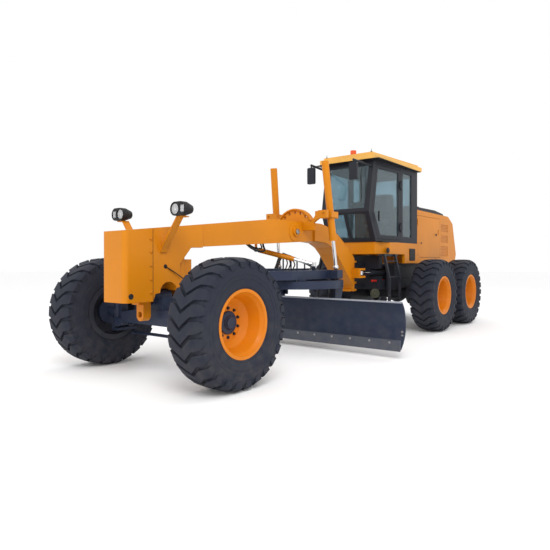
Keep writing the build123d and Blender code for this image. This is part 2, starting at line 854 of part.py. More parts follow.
def make_hose_guard():
    """Comb of flat bars, bolted down over the cross members, that keeps the hoses off moving parts."""
    x = -202.0
    half = 11.0
    thick = 7.0
    base = drawbar_high_z + 0.5
    foot = 20.0
    # distance behind the circle's middle, and height of each bar
    table = [(-30.0, 265.0), (175.0, 216.0), (340.0, 168.0), (555.0, 110.0), (740.0, 60.0)]
    tops = [(circle_y + shift, drawbar_high_z + height) for shift, height in table]
    front_y = tops[0][0]
    rear_y = tops[-1][0]
    outline = [(front_y - half, base), (front_y - half, tops[0][1] + half)]
    outline = outline + [(y, z + half) for y, z in tops[1:-1]]
    outline = outline + [(rear_y + half, tops[-1][1] + half), (rear_y + half, base)]
    guard = prism_x(outline, x - thick, x + thick)
    for (near_y, near_z), (far_y, far_z) in zip(tops, tops[1:]):
        window = [
            (near_y + half, base + foot),
            (near_y + half, near_z - 1.5 * half),
            (far_y - half, far_z - 1.5 * half),
            (far_y - half, base + foot),
        ]
        guard = guard - prism_x(window, x - 2.0 * thick, x + 2.0 * thick)
    wide = 2.0 * thick
    return guard + block(x - wide, x + wide, front_y - 20.0, rear_y + 20.0, base, base + foot)


def make_circle():
    """Ring under the drawbar with the two arms that carry the blade."""
    ring = disc_z(0.0, circle_y, circle_low_z, circle_high_z, circle_radius)
    ring = ring - disc_z(0.0, circle_y, circle_low_z - 5.0, circle_high_z - 35.0, circle_wall_radius)
    ring = ring - disc_z(0.0, circle_y, circle_low_z - 5.0, circle_high_z + 5.0, circle_inner_radius)
    arm_high = circle_low_z + 20.0
    leg = prism_x(
        [
            (carrier_pivot_y - 20.0, arm_high),
            (circle_y + 505.0, arm_high),
            (carrier_pivot_y + 90.0, carrier_pivot_z + 60.0),
            (carrier_pivot_y + 60.0, carrier_pivot_z - 60.0),
            (carrier_pivot_y - 50.0, carrier_pivot_z - 60.0),
            (carrier_pivot_y - 55.0, carrier_pivot_z + 60.0),
        ],
        carrier_x - 20.0,
        carrier_x + 20.0,
    )
    leg = leg - disc_x(
        carrier_x - 40.0,
        carrier_x + 40.0,
        carrier_pivot_y,
        carrier_pivot_z,
        carrier_pin_radius + pin_clearance,
    )
    brace = block(
        carrier_x - 90.0, carrier_x - 15.0, circle_y + 415.0, circle_y + 450.0, arm_high - 170.0, arm_high
    )
    return ring + both_sides(leg + brace)


def blade_section(thickness):
    """Curved section of the mouldboard between two arcs."""
    low = (blade_front_y, blade_low_z + 20.0)
    middle = (blade_front_y + blade_depth, (blade_low_z + blade_high_z) / 2.0 - 40.0)
    high = (blade_front_y + 40.0, blade_high_z)
    front_points = [(0, y, z) for y, z in (low, middle, high)]
    rear_points = [(0, y + thickness, z) for y, z in (low, middle, high)]
    front = ThreePointArc(*front_points)
    rear = ThreePointArc(*rear_points)
    bottom = Line(front_points[0], rear_points[0])
    top = Line(front_points[2], rear_points[2])
    return Face(Wire([front, top, rear, bottom]))


def rail_places():
    """Height of each rail behind the blade and where it meets the plate."""
    return [(610.0, 2637.0), (300.0, 2635.5)]


def make_moldboard():
    """Curved blade with its two rails along the back."""
    section = blade_section(blade_plate)
    plate = Pos(-blade_half_length, 0, 0) * extrude(section, 2.0 * blade_half_length, dir=(1, 0, 0))
    rails = []
    for z, front_y in rail_places():
        rails.append(block(-rail_half, rail_half, front_y, rail_rear_y, z - 20.0, z + 20.0))
    return plate + rails


def make_cutting_edge():
    """Bolted edge along the blade's foot."""
    profile = [
        (blade_front_y - edge_plate - 0.5, blade_low_z),
        (blade_front_y - 0.5, blade_low_z + 10.0),
        (blade_front_y - 0.5, blade_low_z + edge_height),
        (blade_front_y - edge_plate - 0.5, blade_low_z + edge_height),
    ]
    return prism_x(profile, -blade_half_length, blade_half_length)


def make_blade_carrier():
    """Bracket behind the blade: it tips on the circle's arms and guides the rails."""
    carrier = Part()
    guide = rail_rear_y + 5.0
    plate_width = 42.0
    for x in (carrier_x - 70.0, carrier_x + 28.0):
        plate = prism_x(
            [
                (carrier_pivot_y + 45.0, carrier_pivot_z + 40.0),
                (carrier_pivot_y + 45.0, carrier_pivot_z - 40.0),
                (guide + 50.0, 240.0),
                (guide, 240.0),
                (guide, 670.0),
                (guide + 30.0, 670.0),
            ],
            x,
            x + plate_width,
        )
        for z, _front_y in rail_places():
            for low in (z + 25.0, z - 45.0):
                plate = plate + block(x, x + plate_width, guide - 32.0, guide + 10.0, low, low + 20.0)
        carrier = carrier + plate
    pin = disc_x(carrier_x - 60.0, carrier_x + 65.0, carrier_pivot_y, carrier_pivot_z, carrier_pin_radius)
    carrier = both_sides(carrier + pin)
    span = carrier_x - 60.0
    tube = disc_x(-span, span, guide + 70.0, 330.0, 38.0)
    barrel = disc_x(-span, span, guide + 60.0, 480.0, 42.0)
    return carrier + tube + barrel


def lift_point(z):
    """Point on the left lift cylinder's axis at a height."""
    share = (z - lift_ball_z) / (lift_trunnion_z - lift_ball_z)
    x = lift_ball_x + (lift_x - lift_ball_x) * share
    y = lift_ball_y + (lift_trunnion_y - lift_ball_y) * share
    return (x, y, z)


def make_lift_barrel():
    """Left lift cylinder's barrel with the collar and pins that it swings on."""
    top = lift_point(lift_top_z)
    gland = lift_point(lift_gland_z)
    barrel = rod_between(gland, top, lift_barrel_radius)
    barrel = barrel + rod_between(gland, lift_point(lift_gland_z + 60.0), lift_barrel_radius + 8.0)
    middle = lift_point(lift_trunnion_z)
    collar = block(
        middle[0] - 72.0,
        middle[0] + 72.0,
        lift_trunnion_y - 85.0,
        lift_trunnion_y + 80.0,
        lift_trunnion_z - 45.0,
        lift_trunnion_z + 45.0,
    )
    pins = rod_between(
        (lift_x, lift_trunnion_y - 190.0, lift_trunnion_z),
        (lift_x, lift_trunnion_y + 130.0, lift_trunnion_z),
        lift_pin_radius,
    )
    bore_end = lift_point(lift_top_z - 40.0)
    bore = rod_between(lift_point(lift_gland_z - 30.0), bore_end, lift_rod_radius + 1.0)
    return (barrel + collar + pins) - bore


def make_lift_rod():
    """Left lift cylinder's rod with its ball end."""
    rod = rod_between(lift_point(lift_ball_z), lift_point(lift_rod_top_z), lift_rod_radius)
    end = Pos(lift_ball_x, lift_ball_y, lift_ball_z) * Sphere(42.0)
    foot = drawbar_high_z + joint_gap
    reach = 60.0
    end = end - block(
        lift_ball_x - reach, lift_ball_x + reach, lift_ball_y - reach, lift_ball_y + reach, foot - reach, foot
    )
    return rod + end


def swing_at(distance):
    """Point on the side-swing cylinder's axis, measured from its base."""
    return along(swing_base, swing_eye, distance)


def make_swing_trunnion():
    """Ball that the side-swing cylinder turns on, held in the cup of the boom's bracket."""
    return Pos(*swing_base) * Sphere(swing_ball_radius)


def make_swing_barrel():
    """Side-swing cylinder's barrel, with its socket on the ball."""
    barrel = rod_between(swing_at(40.0), swing_at(swing_barrel_end), swing_barrel_radius)
    bore = rod_between(swing_at(swing_bore_start), swing_at(swing_barrel_end + 40.0), swing_rod_radius + 1.0)
    socket = Pos(*swing_base) * Sphere(swing_ball_radius + 1.0)
    return barrel - bore - socket


def make_swing_rod():
    """Side-swing cylinder's rod with its eye."""
    eye_x, eye_y, eye_z = swing_eye
    rod = rod_between(swing_at(swing_rod_start), swing_eye, swing_rod_radius)
    return rod + disc_z(eye_x, eye_y, eye_z - swing_eye_half, eye_z + swing_eye_half, swing_eye_radius)


def articulation_at(distance):
    """Point on the left articulation cylinder's axis, measured from its eye."""
    eye = (articulation_eye_x, articulation_eye_y, articulation_z)
    anchor = (articulation_anchor_x, articulation_anchor_y, articulation_z)
    return along(eye, anchor, distance)


def make_articulation_barrel():
    """Left articulation cylinder's barrel with its anchor eye."""
    barrel = rod_between(articulation_at(300.0), articulation_at(800.0), 48.0)
    bore = rod_between(articulation_at(290.0), articulation_at(760.0), 26.0)
    anchor = disc_z(
        articulation_anchor_x, articulation_anchor_y, articulation_z - 40.0, articulation_z + 40.0, 55.0
    )
    return (barrel - bore) + anchor


def make_articulation_rod():
    """Left articulation cylinder's rod with its eye."""
    eye = disc_z(
        articulation_eye_x, articulation_eye_y, articulation_z - 35.0, articulation_z + 35.0, 42.0
    )
    return eye + rod_between(articulation_at(0.0), articulation_at(560.0), 25.0)


def make_rear_frame():
    """Fork tongues, cross box and two rails."""
    frame = Part()
    heights = hinge_plate_heights()
    for plate_z in (heights[0], heights[2]):
        z = plate_z + hinge_plate + tongue_gap
        tongue = block(-105.0, 105.0, pivot_y, pivot_y + 330.0, z, z + tongue_height)
        frame = frame + tongue + disc_z(0.0, pivot_y, z, z + tongue_height, 105.0)
    pin_hole = pivot_pin_radius + pin_clearance
    frame = frame - disc_z(0.0, pivot_y, tail_low_z - 100.0, tail_high_z + 100.0, pin_hole)
    box_front = pivot_y + 320.0
    box_rear = pivot_y + 440.0
    frame = frame + block(-430.0, 430.0, box_front, box_rear, 790.0, 1420.0)
    frame = frame - both_sides(
        block(
            articulation_eye_x - 40.0,
            articulation_anchor_x + 90.0,
            box_front - 20.0,
            box_rear + 20.0,
            articulation_z - 70.0,
            articulation_z + 70.0,
        )
    )
    inner_x = rail_x - rail_half_width
    outer_x = rail_x + rail_half_width
    start_y = box_rear - 40.0
    end_y = bumper_front_y + 110.0
    rail = block(inner_x, outer_x, start_y, end_y, 780.0, 960.0)
    high_rail = block(inner_x, outer_x, start_y, end_y, 1230.0, hood_low_z - 2.0)
    wall = block(inner_x, inner_x + 30.0, articulation_anchor_y + 140.0, end_y, 900.0, 1250.0)
    frame = frame + both_sides(rail + high_rail + wall)
    anchor_plate = block(
        rail_x - 50.0,
        articulation_anchor_x + 50.0,
        articulation_anchor_y - 35.0,
        articulation_anchor_y + 180.0,
        955.0,
        articulation_z - 42.0,
    )
    axle_y = (mid_wheel_y + rear_wheel_y) / 2.0
    cross = block(-rail_x, rail_x, axle_y - 120.0, axle_y + 120.0, 780.0, 900.0)
    return (frame + both_sides(anchor_plate) + cross) - axle_housing(0.5) - bumper_form(0.5)


def bumper_form(growth):
    """Counterweight across the frame's rear end, made larger by a gap."""
    half = bumper_half_width + growth
    front = bumper_front_y - growth
    return prism_z(
        [
            (-half, front),
            (half, front),
            (half, tail_y - 70.0),
            (half - 90.0, tail_y + growth),
            (90.0 - half, tail_y + growth),
            (-half, tail_y - 70.0),
        ],
        bumper_low_z - growth,
        bumper_high_z + growth,
    )


def make_rear_bumper():
    """Cast rear bumper with the hitch lug below it."""
    low = bumper_low_z
    lug = block(-60.0, 60.0, tail_y - 60.0, tail_y, hitch_z - 60.0, low + 20.0)
    bore = rod_between((0, tail_y - 100.0, hitch_z), (0, tail_y + 50.0, hitch_z), hitch_bore_radius)
    return bumper_form(0.0) + (lug - bore)


def axle_housing(growth):
    """Round axle housing with its swollen middle, made larger by a gap."""
    y = (mid_wheel_y + rear_wheel_y) / 2.0
    reach = case_inner_x + 80.0
    housing = disc_x(-reach, reach, y, axle_z, 150.0 + growth)
    return housing + Pos(0, y, axle_z - 10.0) * Rot(0, 90, 0) * Sphere(220.0 + growth)


def make_rear_axle():
    """Axle housing between the rails with a tandem case down each side."""
    y = (mid_wheel_y + rear_wheel_y) / 2.0
    housing = axle_housing(0.0)
    plane = Plane(origin=(case_inner_x, y, axle_z), x_dir=(0, 1, 0), z_dir=(1, 0, 0))
    outline = plane * SlotCenterToCenter(rear_wheel_y - mid_wheel_y, 2.0 * case_radius)
    case = extrude(outline, case_width, dir=(1, 0, 0))
    hub_end = track / 2.0 + rim_disc_offset - rear_disc_shift - 14.0 - joint_gap
    for wheel_y in (mid_wheel_y, rear_wheel_y):
        case = case + disc_x(case_inner_x + case_width - 10.0, hub_end, wheel_y, axle_z, 105.0)
    return housing + case + mirrored(case)


def make_engine_block():
    """The engine as one plain block at its real size."""
    return block(-270.0, 270.0, hood_front_y + 490.0, hood_front_y + 1690.0, 1000.0, hood_side_z - 400.0)


def hinge_barrel(x, y, low, high, radius, way):
    """One barrel of a left door's hinge with its leaf to the front (way -1) or the rear (way 1)."""
    start = y + way * (radius - 1.0)
    end = y + way * 45.0
    front, rear = min(start, end), max(start, end)
    leaf = block(x - radius - 12.0, x, front, rear, low, high)
    neck = block(x - radius / 2.0, x + radius / 2.0, min(y, end), max(y, end), low, high)
    return disc_z(x, y, low, high, radius) + neck + leaf


def fixed_heights(places):
    """Low and high ends of a hinge's fixed barrels, just below and above each moving one."""
    heights = []
    for low in places:
        heights.append((low - 32.0, low - 2.0))
        heights.append((low + hinge_length + 2.0, low + hinge_length + 32.0))
    return heights


def hood_outline(inset):
    """Side outline of the hood, moved in by a wall."""
    return [
        (hood_front_y + inset, hood_low_z),
        (hood_front_y + inset, hood_side_z + 20.0 - inset),
        (tail_y - 540.0 - inset * 0.2, hood_side_z - inset),
        (tail_y - 240.0 - inset * 0.6, hood_side_z - 150.0 - inset * 0.6),
        (tail_y - inset, grille_low_z),
        (tail_y - 90.0 - inset, hood_low_z),
    ]


def hood_hinge_places():
    """Heights of the engine door's two hinges."""
    return [hood_low_z + 230.0, hood_side_z - 290.0]


def make_louvres():
    """Grooves of the left side's three louvre groups, to be cut from the hood."""
    grooves = Part()
    # upper and lower end of each group
    for high, low in [(2160.0, 1985.0), (1930.0, 1740.0), (1670.0, 1425.0)]:
        count = int((high - low) / louvre_pitch)
        for index in range(count):
            z = low + index * louvre_pitch
            grooves = grooves + block(
                hood_half_width - louvre_depth,
                hood_half_width + 5.0,
                louvre_front_y,
                louvre_rear_y,
                z,
                z + louvre_pitch * 0.55,
            )
    return grooves


def door_block(gap, past):
    """Left engine door's place in the hood's skin, made smaller by a gap and thicker by a past length."""
    return block(
        hood_half_width - hood_skin - past,
        hood_half_width + past,
        hood_front_y + 110.0 + gap,
        louvre_front_y - 60.0 - gap,
        1390.0 + gap,
        2260.0 - gap,
    )


def make_hood():
    """Hollow hood, open below, with openings for its side doors and its grille."""
    outer = prism_x(hood_outline(0.0), -hood_half_width, hood_half_width)
    inner_points = hood_outline(hood_skin)
    inner = prism_x(
        [(y, z if z > hood_low_z else z - 10.0) for y, z in inner_points],
        -hood_half_width + hood_skin,
        hood_half_width - hood_skin,
    )
    hood = outer - inner
    hood = hood - both_sides(door_block(0.0, 5.0))
    grille = block(-380.0, 380.0, tail_y - 260.0, tail_y + 10.0, grille_low_z, grille_high_z)
    hood = hood - grille - both_sides(make_louvres())
    hinges = Part()
    for low, high in fixed_heights(hood_hinge_places()):
        hinges = hinges + hinge_barrel(hood_hinge_x, hood_hinge_y, low, high, hood_hinge_radius, -1.0)
    return hood + both_sides(hinges)


def make_hood_door():
    """Left engine door, a plain panel with a sunk handle and its hinges' moving halves."""
    handle_y = louvre_front_y - 170.0
    sunk = hood_half_width - 12.0
    pocket = block(sunk, hood_half_width + 5.0, handle_y - 25.0, handle_y + 25.0, 1900.0, 2010.0)
    door = door_block(6.0, 0.0) - pocket
    for low in hood_hinge_places():
        high = low + hinge_length
        door = door + hinge_barrel(hood_hinge_x, hood_hinge_y, low, high, hood_hinge_radius, 1.0)
    return door


def make_rear_grille():
    """Slatted grille in the hood's rear."""
    frame = block(-378.0, 378.0, tail_y - 245.0, tail_y - 225.0, grille_low_z + 2.0, grille_high_z - 2.0)
    for index in range(8):
        z = grille_low_z + 40.0 + index * 60.0
        frame = frame - block(-350.0, 350.0, tail_y - 300.0, tail_y - 200.0, z, z + 36.0)
    return frame


def make_hood_deck():
    """Dark deck on the hood with the filler's cap, and its air grille."""
    low = hood_side_z + 20.5
    deck = prism_x(
        [
            (hood_front_y + 20.0, low),
            (hood_front_y + 20.0, hood_side_z + 100.0),
            (louvre_front_y - 150.0, hood_side_z + 105.0),
            (louvre_rear_y - 80.0, hood_side_z + 60.0),
            (louvre_rear_y, low - 18.0),
        ],
        -430.0,
        430.0,
    )
    slots = []
    for index in range(6):
        y = 6900.0 + index * 60.0
        slots.append(block(-300.0, 300.0, y, y + 28.0, hood_side_z + 80.0, hood_side_z + 140.0))
    cap = disc_z(260.0, 6680.0, hood_side_z + 80.0, hood_side_z + 145.0, 55.0)
    return (deck - slots) + cap


def cab_profile(inset):
    """Side outline of the cab, moved in by a wall."""
    return [
        (cab_front_y + inset, cab_floor_z + inset),
        (cab_knee_y + inset * 1.1, cab_knee_z),
        (cab_top_front_y + inset * 1.05, cab_roof_z),
        (cab_rear_y - inset, cab_roof_z),
        (cab_rear_y - inset, cab_floor_z + inset),
    ]


def cab_form(inset):
    """Cab envelope: the side outline cut to a plan that narrows to the front."""
    side = prism_x(cab_profile(inset), -cab_reach, cab_reach)
    slope = (cab_rear_half - cab_front_half) / (cab_rear_y - cab_knee_y)
    front = cab_front_half - inset
    rear = cab_rear_half - inset
    lead = 100.0
    plan = prism_z(
        [
            (-front + slope * lead, cab_knee_y - lead),
            (front - slope * lead, cab_knee_y - lead),
            (rear + slope * lead, cab_rear_y + lead),
            (-rear - slope * lead, cab_rear_y + lead),
        ],
        cab_floor_z - 50.0,
        cab_roof_z + 50.0,
    )
    return side & plan


def door_outline(gap):
    """Side outline of the cab door."""
    return [
        (cab_front_y + 70.0 + gap, door_low_z + gap),
        (cab_knee_y + 95.0 + gap, cab_knee_z + 10.0),
        (cab_top_front_y + 75.0 + gap, door_high_z - gap),
        (door_rear_y - gap, door_high_z - gap),
        (door_rear_y - gap, door_low_z + gap),
    ]


def door_window_outline(gap):
    """Window opening inside the cab door."""
    low = door_low_z + 75.0 + gap
    high = door_high_z - 70.0 - gap
    rear = door_rear_y - 75.0 - gap
    return [
        (cab_front_y + 160.0 + gap, low),
        (cab_knee_y + 180.0 + gap, cab_knee_z + 10.0),
        (cab_top_front_y + 145.0 + gap, high),
        (rear, high),
        (rear, low),
    ]


def side_window(gap):
    """Fixed pane's opening behind the cab door."""
    low = cab_floor_z + 120.0 + gap
    high = cab_roof_z - 110.0 - gap
    front = door_rear_y + 100.0 + gap
    rear = front + 350.0 - 2.0 * gap
    return prism_x([(front, low), (front, high), (rear, high), (rear, low)], -cab_reach, cab_reach)


def rear_window(gap):
    """Opening in the cab's rear wall."""
    half = 480.0 - gap
    return block(
        -half, half, cab_rear_y - 100.0, cab_rear_y + 50.0, cab_knee_z - 40.0 + gap, cab_roof_z - 130.0 - gap
    )


def windscreen_cut(gap):
    """Openings of the upper and lower front windows."""
    front = cab_knee_y - 50.0
    rear = cab_knee_y + 350.0
    low = cab_knee_z + 60.0 + gap
    high = cab_roof_z - 90.0 - gap
    upper = prism_y(
        [(-395.0 + gap, low), (395.0 - gap, low), (415.0 - gap, high), (-415.0 + gap, high)], front, rear
    )
    low = cab_floor_z + 60.0 + gap
    high = cab_knee_z - 40.0 - gap
    mullion = 30.0 + gap
    lower = prism_y(
        [(mullion, low), (410.0 - gap, low), (395.0 - gap, high), (mullion, high)], front, rear
    )
    return upper + both_sides(lower)


def cab_hinge_x():
    """Distance of the cab doors' hinge axes from the middle, just outside the wall."""
    slope = (cab_rear_half - cab_front_half) / (cab_rear_y - cab_knee_y)
    return cab_front_half + slope * (cab_hinge_y - cab_knee_y) + cab_hinge_radius + 5.0


def cab_hinge_places():
    """Heights of a cab door's two hinges."""
    return [door_low_z + 190.0, door_high_z - 340.0]


def make_mirror():
    """Left mirror, hung from an arm at the cab's front corner."""
    x, y, z = mirror_place
    top = (x, y, z + mirror_half_height + 45.0)
    arm = rod_between((cab_front_half - 30.0, cab_top_front_y + 15.0, cab_roof_z - 120.0), top, 20.0)
    arm = arm + Pos(*top) * Sphere(20.0) + rod_between(top, (x, y, z), 14.0)
    case = block(
        x - mirror_half_width,
        x + mirror_half_width,
        y - 22.0,
        y + 26.0,
        z - mirror_half_height,
        z + mirror_half_height,
    )
    return arm + fillet(case.edges().filter_by(Axis.Y), 24.0)


def make_cab_frame():
    """Pillars, sills and rear wall of the cab, with its windows and doorways cut."""
    shell = cab_form(0.0) - cab_form(cab_wall)
    shell = shell - prism_x(door_outline(0.0), -cab_reach, cab_reach)
    shell = shell - side_window(0.0) - rear_window(0.0) - windscreen_cut(0.0)
    hinges = Part()
    for low, high in fixed_heights(cab_hinge_places()):
        hinges = hinges + hinge_barrel(cab_hinge_x(), cab_hinge_y, low, high, cab_hinge_radius, 1.0)
    return shell + both_sides(make_mirror() + hinges)


def make_cab_glass():
    """Fixed panes, each set in the middle of its wall."""
    layer = cab_form(18.0) - cab_form(25.0)
    return (layer & windscreen_cut(1.0)) + (layer & side_window(1.0)) + (layer & rear_window(1.0))


def half_space(side):
    """Everything on one side of the machine, round the cab."""
    left = block(5.0, cab_reach, cab_knee_y - 1000.0, cab_rear_y + 1000.0, 0.0, roof_high_z + 1000.0)
    return left if side > 0 else mirrored(left)


def make_cab_door(side):
    """One cab door with its window cut and its hinges' moving halves."""
    shell = cab_form(0.0) - cab_form(cab_wall)
    door = shell & prism_x(door_outline(6.0), -cab_reach, cab_reach)
    door = door - prism_x(door_window_outline(0.0), -cab_reach, cab_reach)
    door = door & half_space(1)
    for low in cab_hinge_places():
        high = low + hinge_length
        door = door + hinge_barrel(cab_hinge_x(), cab_hinge_y, low, high, cab_hinge_radius, -1.0)
    return door if side > 0 else mirrored(door)


def make_door_glass(side):
    """The pane in one cab door."""
    layer = cab_form(18.0) - cab_form(25.0)
    return (layer & prism_x(door_window_outline(1.0), -cab_reach, cab_reach)) & half_space(side)


def make_cab_roof():
    """Roof cap that hangs over the cab, with a crown set in from its edge."""
    front_y = cab_top_front_y - 120.0
    rear_y = cab_rear_y + 70.0
    front_half = cab_front_half + 70.0
    rear_half = cab_rear_half + 65.0
    layers = Part()
    # low and high side of each layer, and how far it is set in
    for low, high, inset in [
        (cab_roof_z + 0.5, roof_high_z - 45.0, 0.0),
        (roof_high_z - 45.0, roof_high_z, 55.0),
    ]:
        layers = layers + prism_z(
            [
                (inset - front_half, front_y + inset),
                (front_half - inset, front_y + inset),
                (rear_half - inset, rear_y - inset),
                (inset - rear_half, rear_y - inset),
            ],
            low,
            high,
        )
    return layers


def make_cab_base():
    """Yellow base under the cab, stepped down behind the ladder."""
    front_y = cab_front_y + 20.0
    rear_y = hood_front_y - 6.0
    plan = [
        (-470.0, front_y),
        (470.0, front_y),
        (600.0, front_y + 340.0),
        (620.0, rear_y),
        (-620.0, rear_y),
        (-600.0, front_y + 340.0),
    ]
    base = prism_z(plan, base_low_z, cab_floor_z - 0.5)
    skirt = block(560.0, 615.0, door_rear_y + 80.0, rear_y, hood_low_z, base_low_z + 5.0)
    return base + both_sides(skirt)


def make_cab_interior():
    """Seat, its stand and the steering console, standing on the cab floor."""
    floor = cab_floor_z + cab_wall
    seat_y = door_rear_y + 50.0
    seat_z = floor + 300.0
    back_high = floor + 0.70 * (cab_roof_z - floor)
    stand = block(-150.0, 150.0, seat_y - 130.0, seat_y + 170.0, floor + 0.5, seat_z)
    cushion = block(-250.0, 250.0, seat_y - 230.0, seat_y + 270.0, seat_z, seat_z + 130.0)
    back = block(-240.0, 240.0, seat_y + 220.0, seat_y + 360.0, seat_z + 100.0, back_high)
    column_y = cab_front_y + 300.0
    console = block(-90.0, 90.0, column_y - 80.0, column_y + 80.0, floor + 0.5, floor + 620.0)
    wheel_place = (0.0, column_y + 120.0, floor + 700.0)
    wheel = Pos(*wheel_place) * Rot(-30, 0, 0) * Cylinder(200.0, 26.0)
    column = rod_between((0, column_y, floor + 580.0), wheel_place, 30.0)
    return stand + cushion + back + (console + wheel + column)


def make_rear_lamps():
    """Beacon on the roof and tail lamps on the bumper."""
    beacon = disc_z(0.0, cab_top_front_y + 150.0, roof_high_z + 0.5, roof_high_z + 115.0, 55.0)
    tail = block(470.0, 600.0, tail_y - 150.0, tail_y - 90.0, bumper_high_z + 0.5, bumper_high_z + 75.0)
    return beacon + both_sides(tail)


def make_ladder():
    """Left steps up to the cab door, hung under the cab base from a tie along its edge."""
    rear_y = mid_wheel_y - tyre_diameter / 2.0 - 40.0
    front_y = rear_y - ladder_length
    rail_width = 45.0
    top = base_low_z - 0.5
    ladder = block(555.0, 640.0, front_y, rear_y + 130.0, top - 40.0, top)
    for y in (front_y, rear_y - rail_width):
        ladder = ladder + prism_y(
            [
                (600.0, top - 40.0),
                (600.0, top),
                (672.0, top),
                (775.0, 1000.0),
                (775.0, 600.0),
                (735.0, 600.0),
                (735.0, 1000.0),
                (640.0, top - 40.0),
            ],
            y,
            y + rail_width,
        )
    # height of each step, with its middle x
    for z, x in [(1310.0, 680.0), (1030.0, 745.0), (640.0, 755.0)]:
        ladder = ladder + block(x - 35.0, x + 15.0, front_y + 20.0, rear_y - 20.0, z - 12.0, z + 12.0)
    return ladder


def make_tank():
    """Left tank between the rail and the ladder."""
    return block(430.0, 600.0, articulation_anchor_y - 160.0, articulation_anchor_y + 120.0, 780.0, 1230.0)


def add_rear_body():
    """Everything fixed to the rear frame."""
    keep("rear_frame", make_rear_frame())
    keep("rear_bumper", make_rear_bumper())
    keep("rear_axle", make_rear_axle())
    keep("engine_block", make_engine_block())
    keep("hood_shell", make_hood())
    keep("hood_deck", make_hood_deck())
    keep("rear_grille", make_rear_grille())
    keep("cab_frame", make_cab_frame())
    keep("cab_roof", make_cab_roof())
    keep("cab_base", make_cab_base())
    keep("cab_glass", make_cab_glass())
    keep("cab_interior", make_cab_interior())
    keep("rear_lamps", make_rear_lamps())
    keep("ladders_and_tanks", both_sides(make_ladder()) + both_sides(make_tank()))
    keep("articulation_barrels", both_sides(make_articulation_barrel()))
    keep("hood_door_left", make_hood_door())
    keep("hood_door_right", mirrored(make_hood_door()))
    for name, side in (("left", 1), ("right", -1)):
        keep("cab_door_" + name, make_cab_door(side))
        keep("door_glass_" + name, make_door_glass(side))


def add_front_body():
    """Front frame, axle, steering and wheel lean."""
    keep("front_frame", make_front_frame())
    keep("nose_box", make_nose_box())
    keep("saddle", make_saddle())
    keep("headlamps", both_sides(make_headlamp()))
    keep("front_axle", make_front_axle())
    for name, turn in (("left", lambda shape: shape), ("right", mirrored)):
        keep("lean_bracket_" + name, turn(make_lean_bracket()))
        keep("knuckle_" + name, turn(make_knuckle()))
        keep("lift_barrel_" + name, turn(make_lift_barrel()))
        keep("lift_rod_" + name, turn(make_lift_rod()))
        keep("articulation_rod_" + name, turn(make_articulation_rod()))
    keep("tie_ball", make_tie_ball())
    keep("tie_rod", make_tie_rod())
    keep("lean_bar", make_lean_bar())


def add_blade_group():
    """Drawbar, circle, blade and the side-swing cylinder."""
    keep("drawbar_ball", make_drawbar_ball())
    keep("drawbar", make_drawbar())
    keep("circle", make_circle())
    keep("blade_carrier", make_blade_carrier())
    keep("moldboard", make_moldboard())
    keep("cutting_edge", make_cutting_edge())
    keep("swing_trunnion", make_swing_trunnion())
    keep("swing_barrel", make_swing_barrel())
    keep("swing_rod", make_swing_rod())


add_wheels()
add_rear_body()
add_front_body()
add_blade_group()

for name, shape in pieces.items():
    placed = Pos(0, -length_middle_y, 0) * shape
    export_step(Compound(children=list(placed.solids())), os.path.join("parts", name + ".step"))
print(len(pieces), "pieces")
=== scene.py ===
# %% [markdown]
# A motor grader is long and low, with most of its parts hung from one arched beam.
# The frame from the CAD model gives every solid its place. This first step loads it and moves
# each solid's place into its own mesh.

import math

import bmesh
import bpy
from mathutils import Matrix, Vector


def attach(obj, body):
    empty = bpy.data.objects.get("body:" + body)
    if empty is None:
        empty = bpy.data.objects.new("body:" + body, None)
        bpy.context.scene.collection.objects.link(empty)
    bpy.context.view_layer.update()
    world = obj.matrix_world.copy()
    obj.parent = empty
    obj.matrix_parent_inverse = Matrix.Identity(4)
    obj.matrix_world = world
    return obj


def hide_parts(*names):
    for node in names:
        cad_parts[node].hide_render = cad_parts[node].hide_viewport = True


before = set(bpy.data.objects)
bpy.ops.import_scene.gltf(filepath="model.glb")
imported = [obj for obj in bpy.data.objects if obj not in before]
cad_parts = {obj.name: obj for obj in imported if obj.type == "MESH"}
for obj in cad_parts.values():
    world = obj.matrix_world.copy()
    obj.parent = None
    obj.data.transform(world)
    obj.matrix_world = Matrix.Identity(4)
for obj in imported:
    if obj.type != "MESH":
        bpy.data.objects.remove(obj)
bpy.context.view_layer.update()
MIDDLE_Y = 3.9075


def at(x, y, z):
    """A point given from the front axle (y = 0 there), in the frame's own coordinates."""
    return Vector((x, y - MIDDLE_Y, z))


# %% [markdown]
# The camera stands at the machine's front left, a little over one metre above the floor.
# Its place and lens were solved from the six wheels, whose size and spacing are known, so
# straight measurements from the picture and the render agree. The small shift only centres
# the view as the photograph does.

# %% Camera
CAMERA_PLACE = at(4.699, -3.724, 1.300)
CAMERA_YAW = 37.77
CAMERA_PITCH = -0.47
CAMERA_LENS = 32.94
CAMERA_SHIFT = (-0.0171, -0.0165)
FARTHEST_SEEN = 200.0
camera_data = bpy.data.cameras.new("camera")
camera_data.lens = CAMERA_LENS
camera_data.sensor_width = 36.0
camera_data.shift_x, camera_data.shift_y = CAMERA_SHIFT
camera_data.clip_end = FARTHEST_SEEN
camera = bpy.data.objects.new("camera", camera_data)
camera.location = CAMERA_PLACE
camera.rotation_euler = (math.radians(90.0 + CAMERA_PITCH), 0.0, math.radians(CAMERA_YAW))
bpy.context.scene.collection.objects.link(camera)
bpy.context.scene.camera = camera
print("camera", [round(v, 3) for v in camera.location])

# %% [markdown]
# The floor is one wide pale sheet, and the light is that of a white studio: a bright even
# sky with three large soft lamps. One stands high on the camera's side and models the
# shapes, the others lift the shadows from the far side and from behind.

# %% Floor and light
STUDIO_WHITE = (1.0, 1.0, 1.0, 1.0)
FLOOR_WHITE = (0.97, 0.97, 0.97, 1.0)
FLOOR_REACH = 60.0


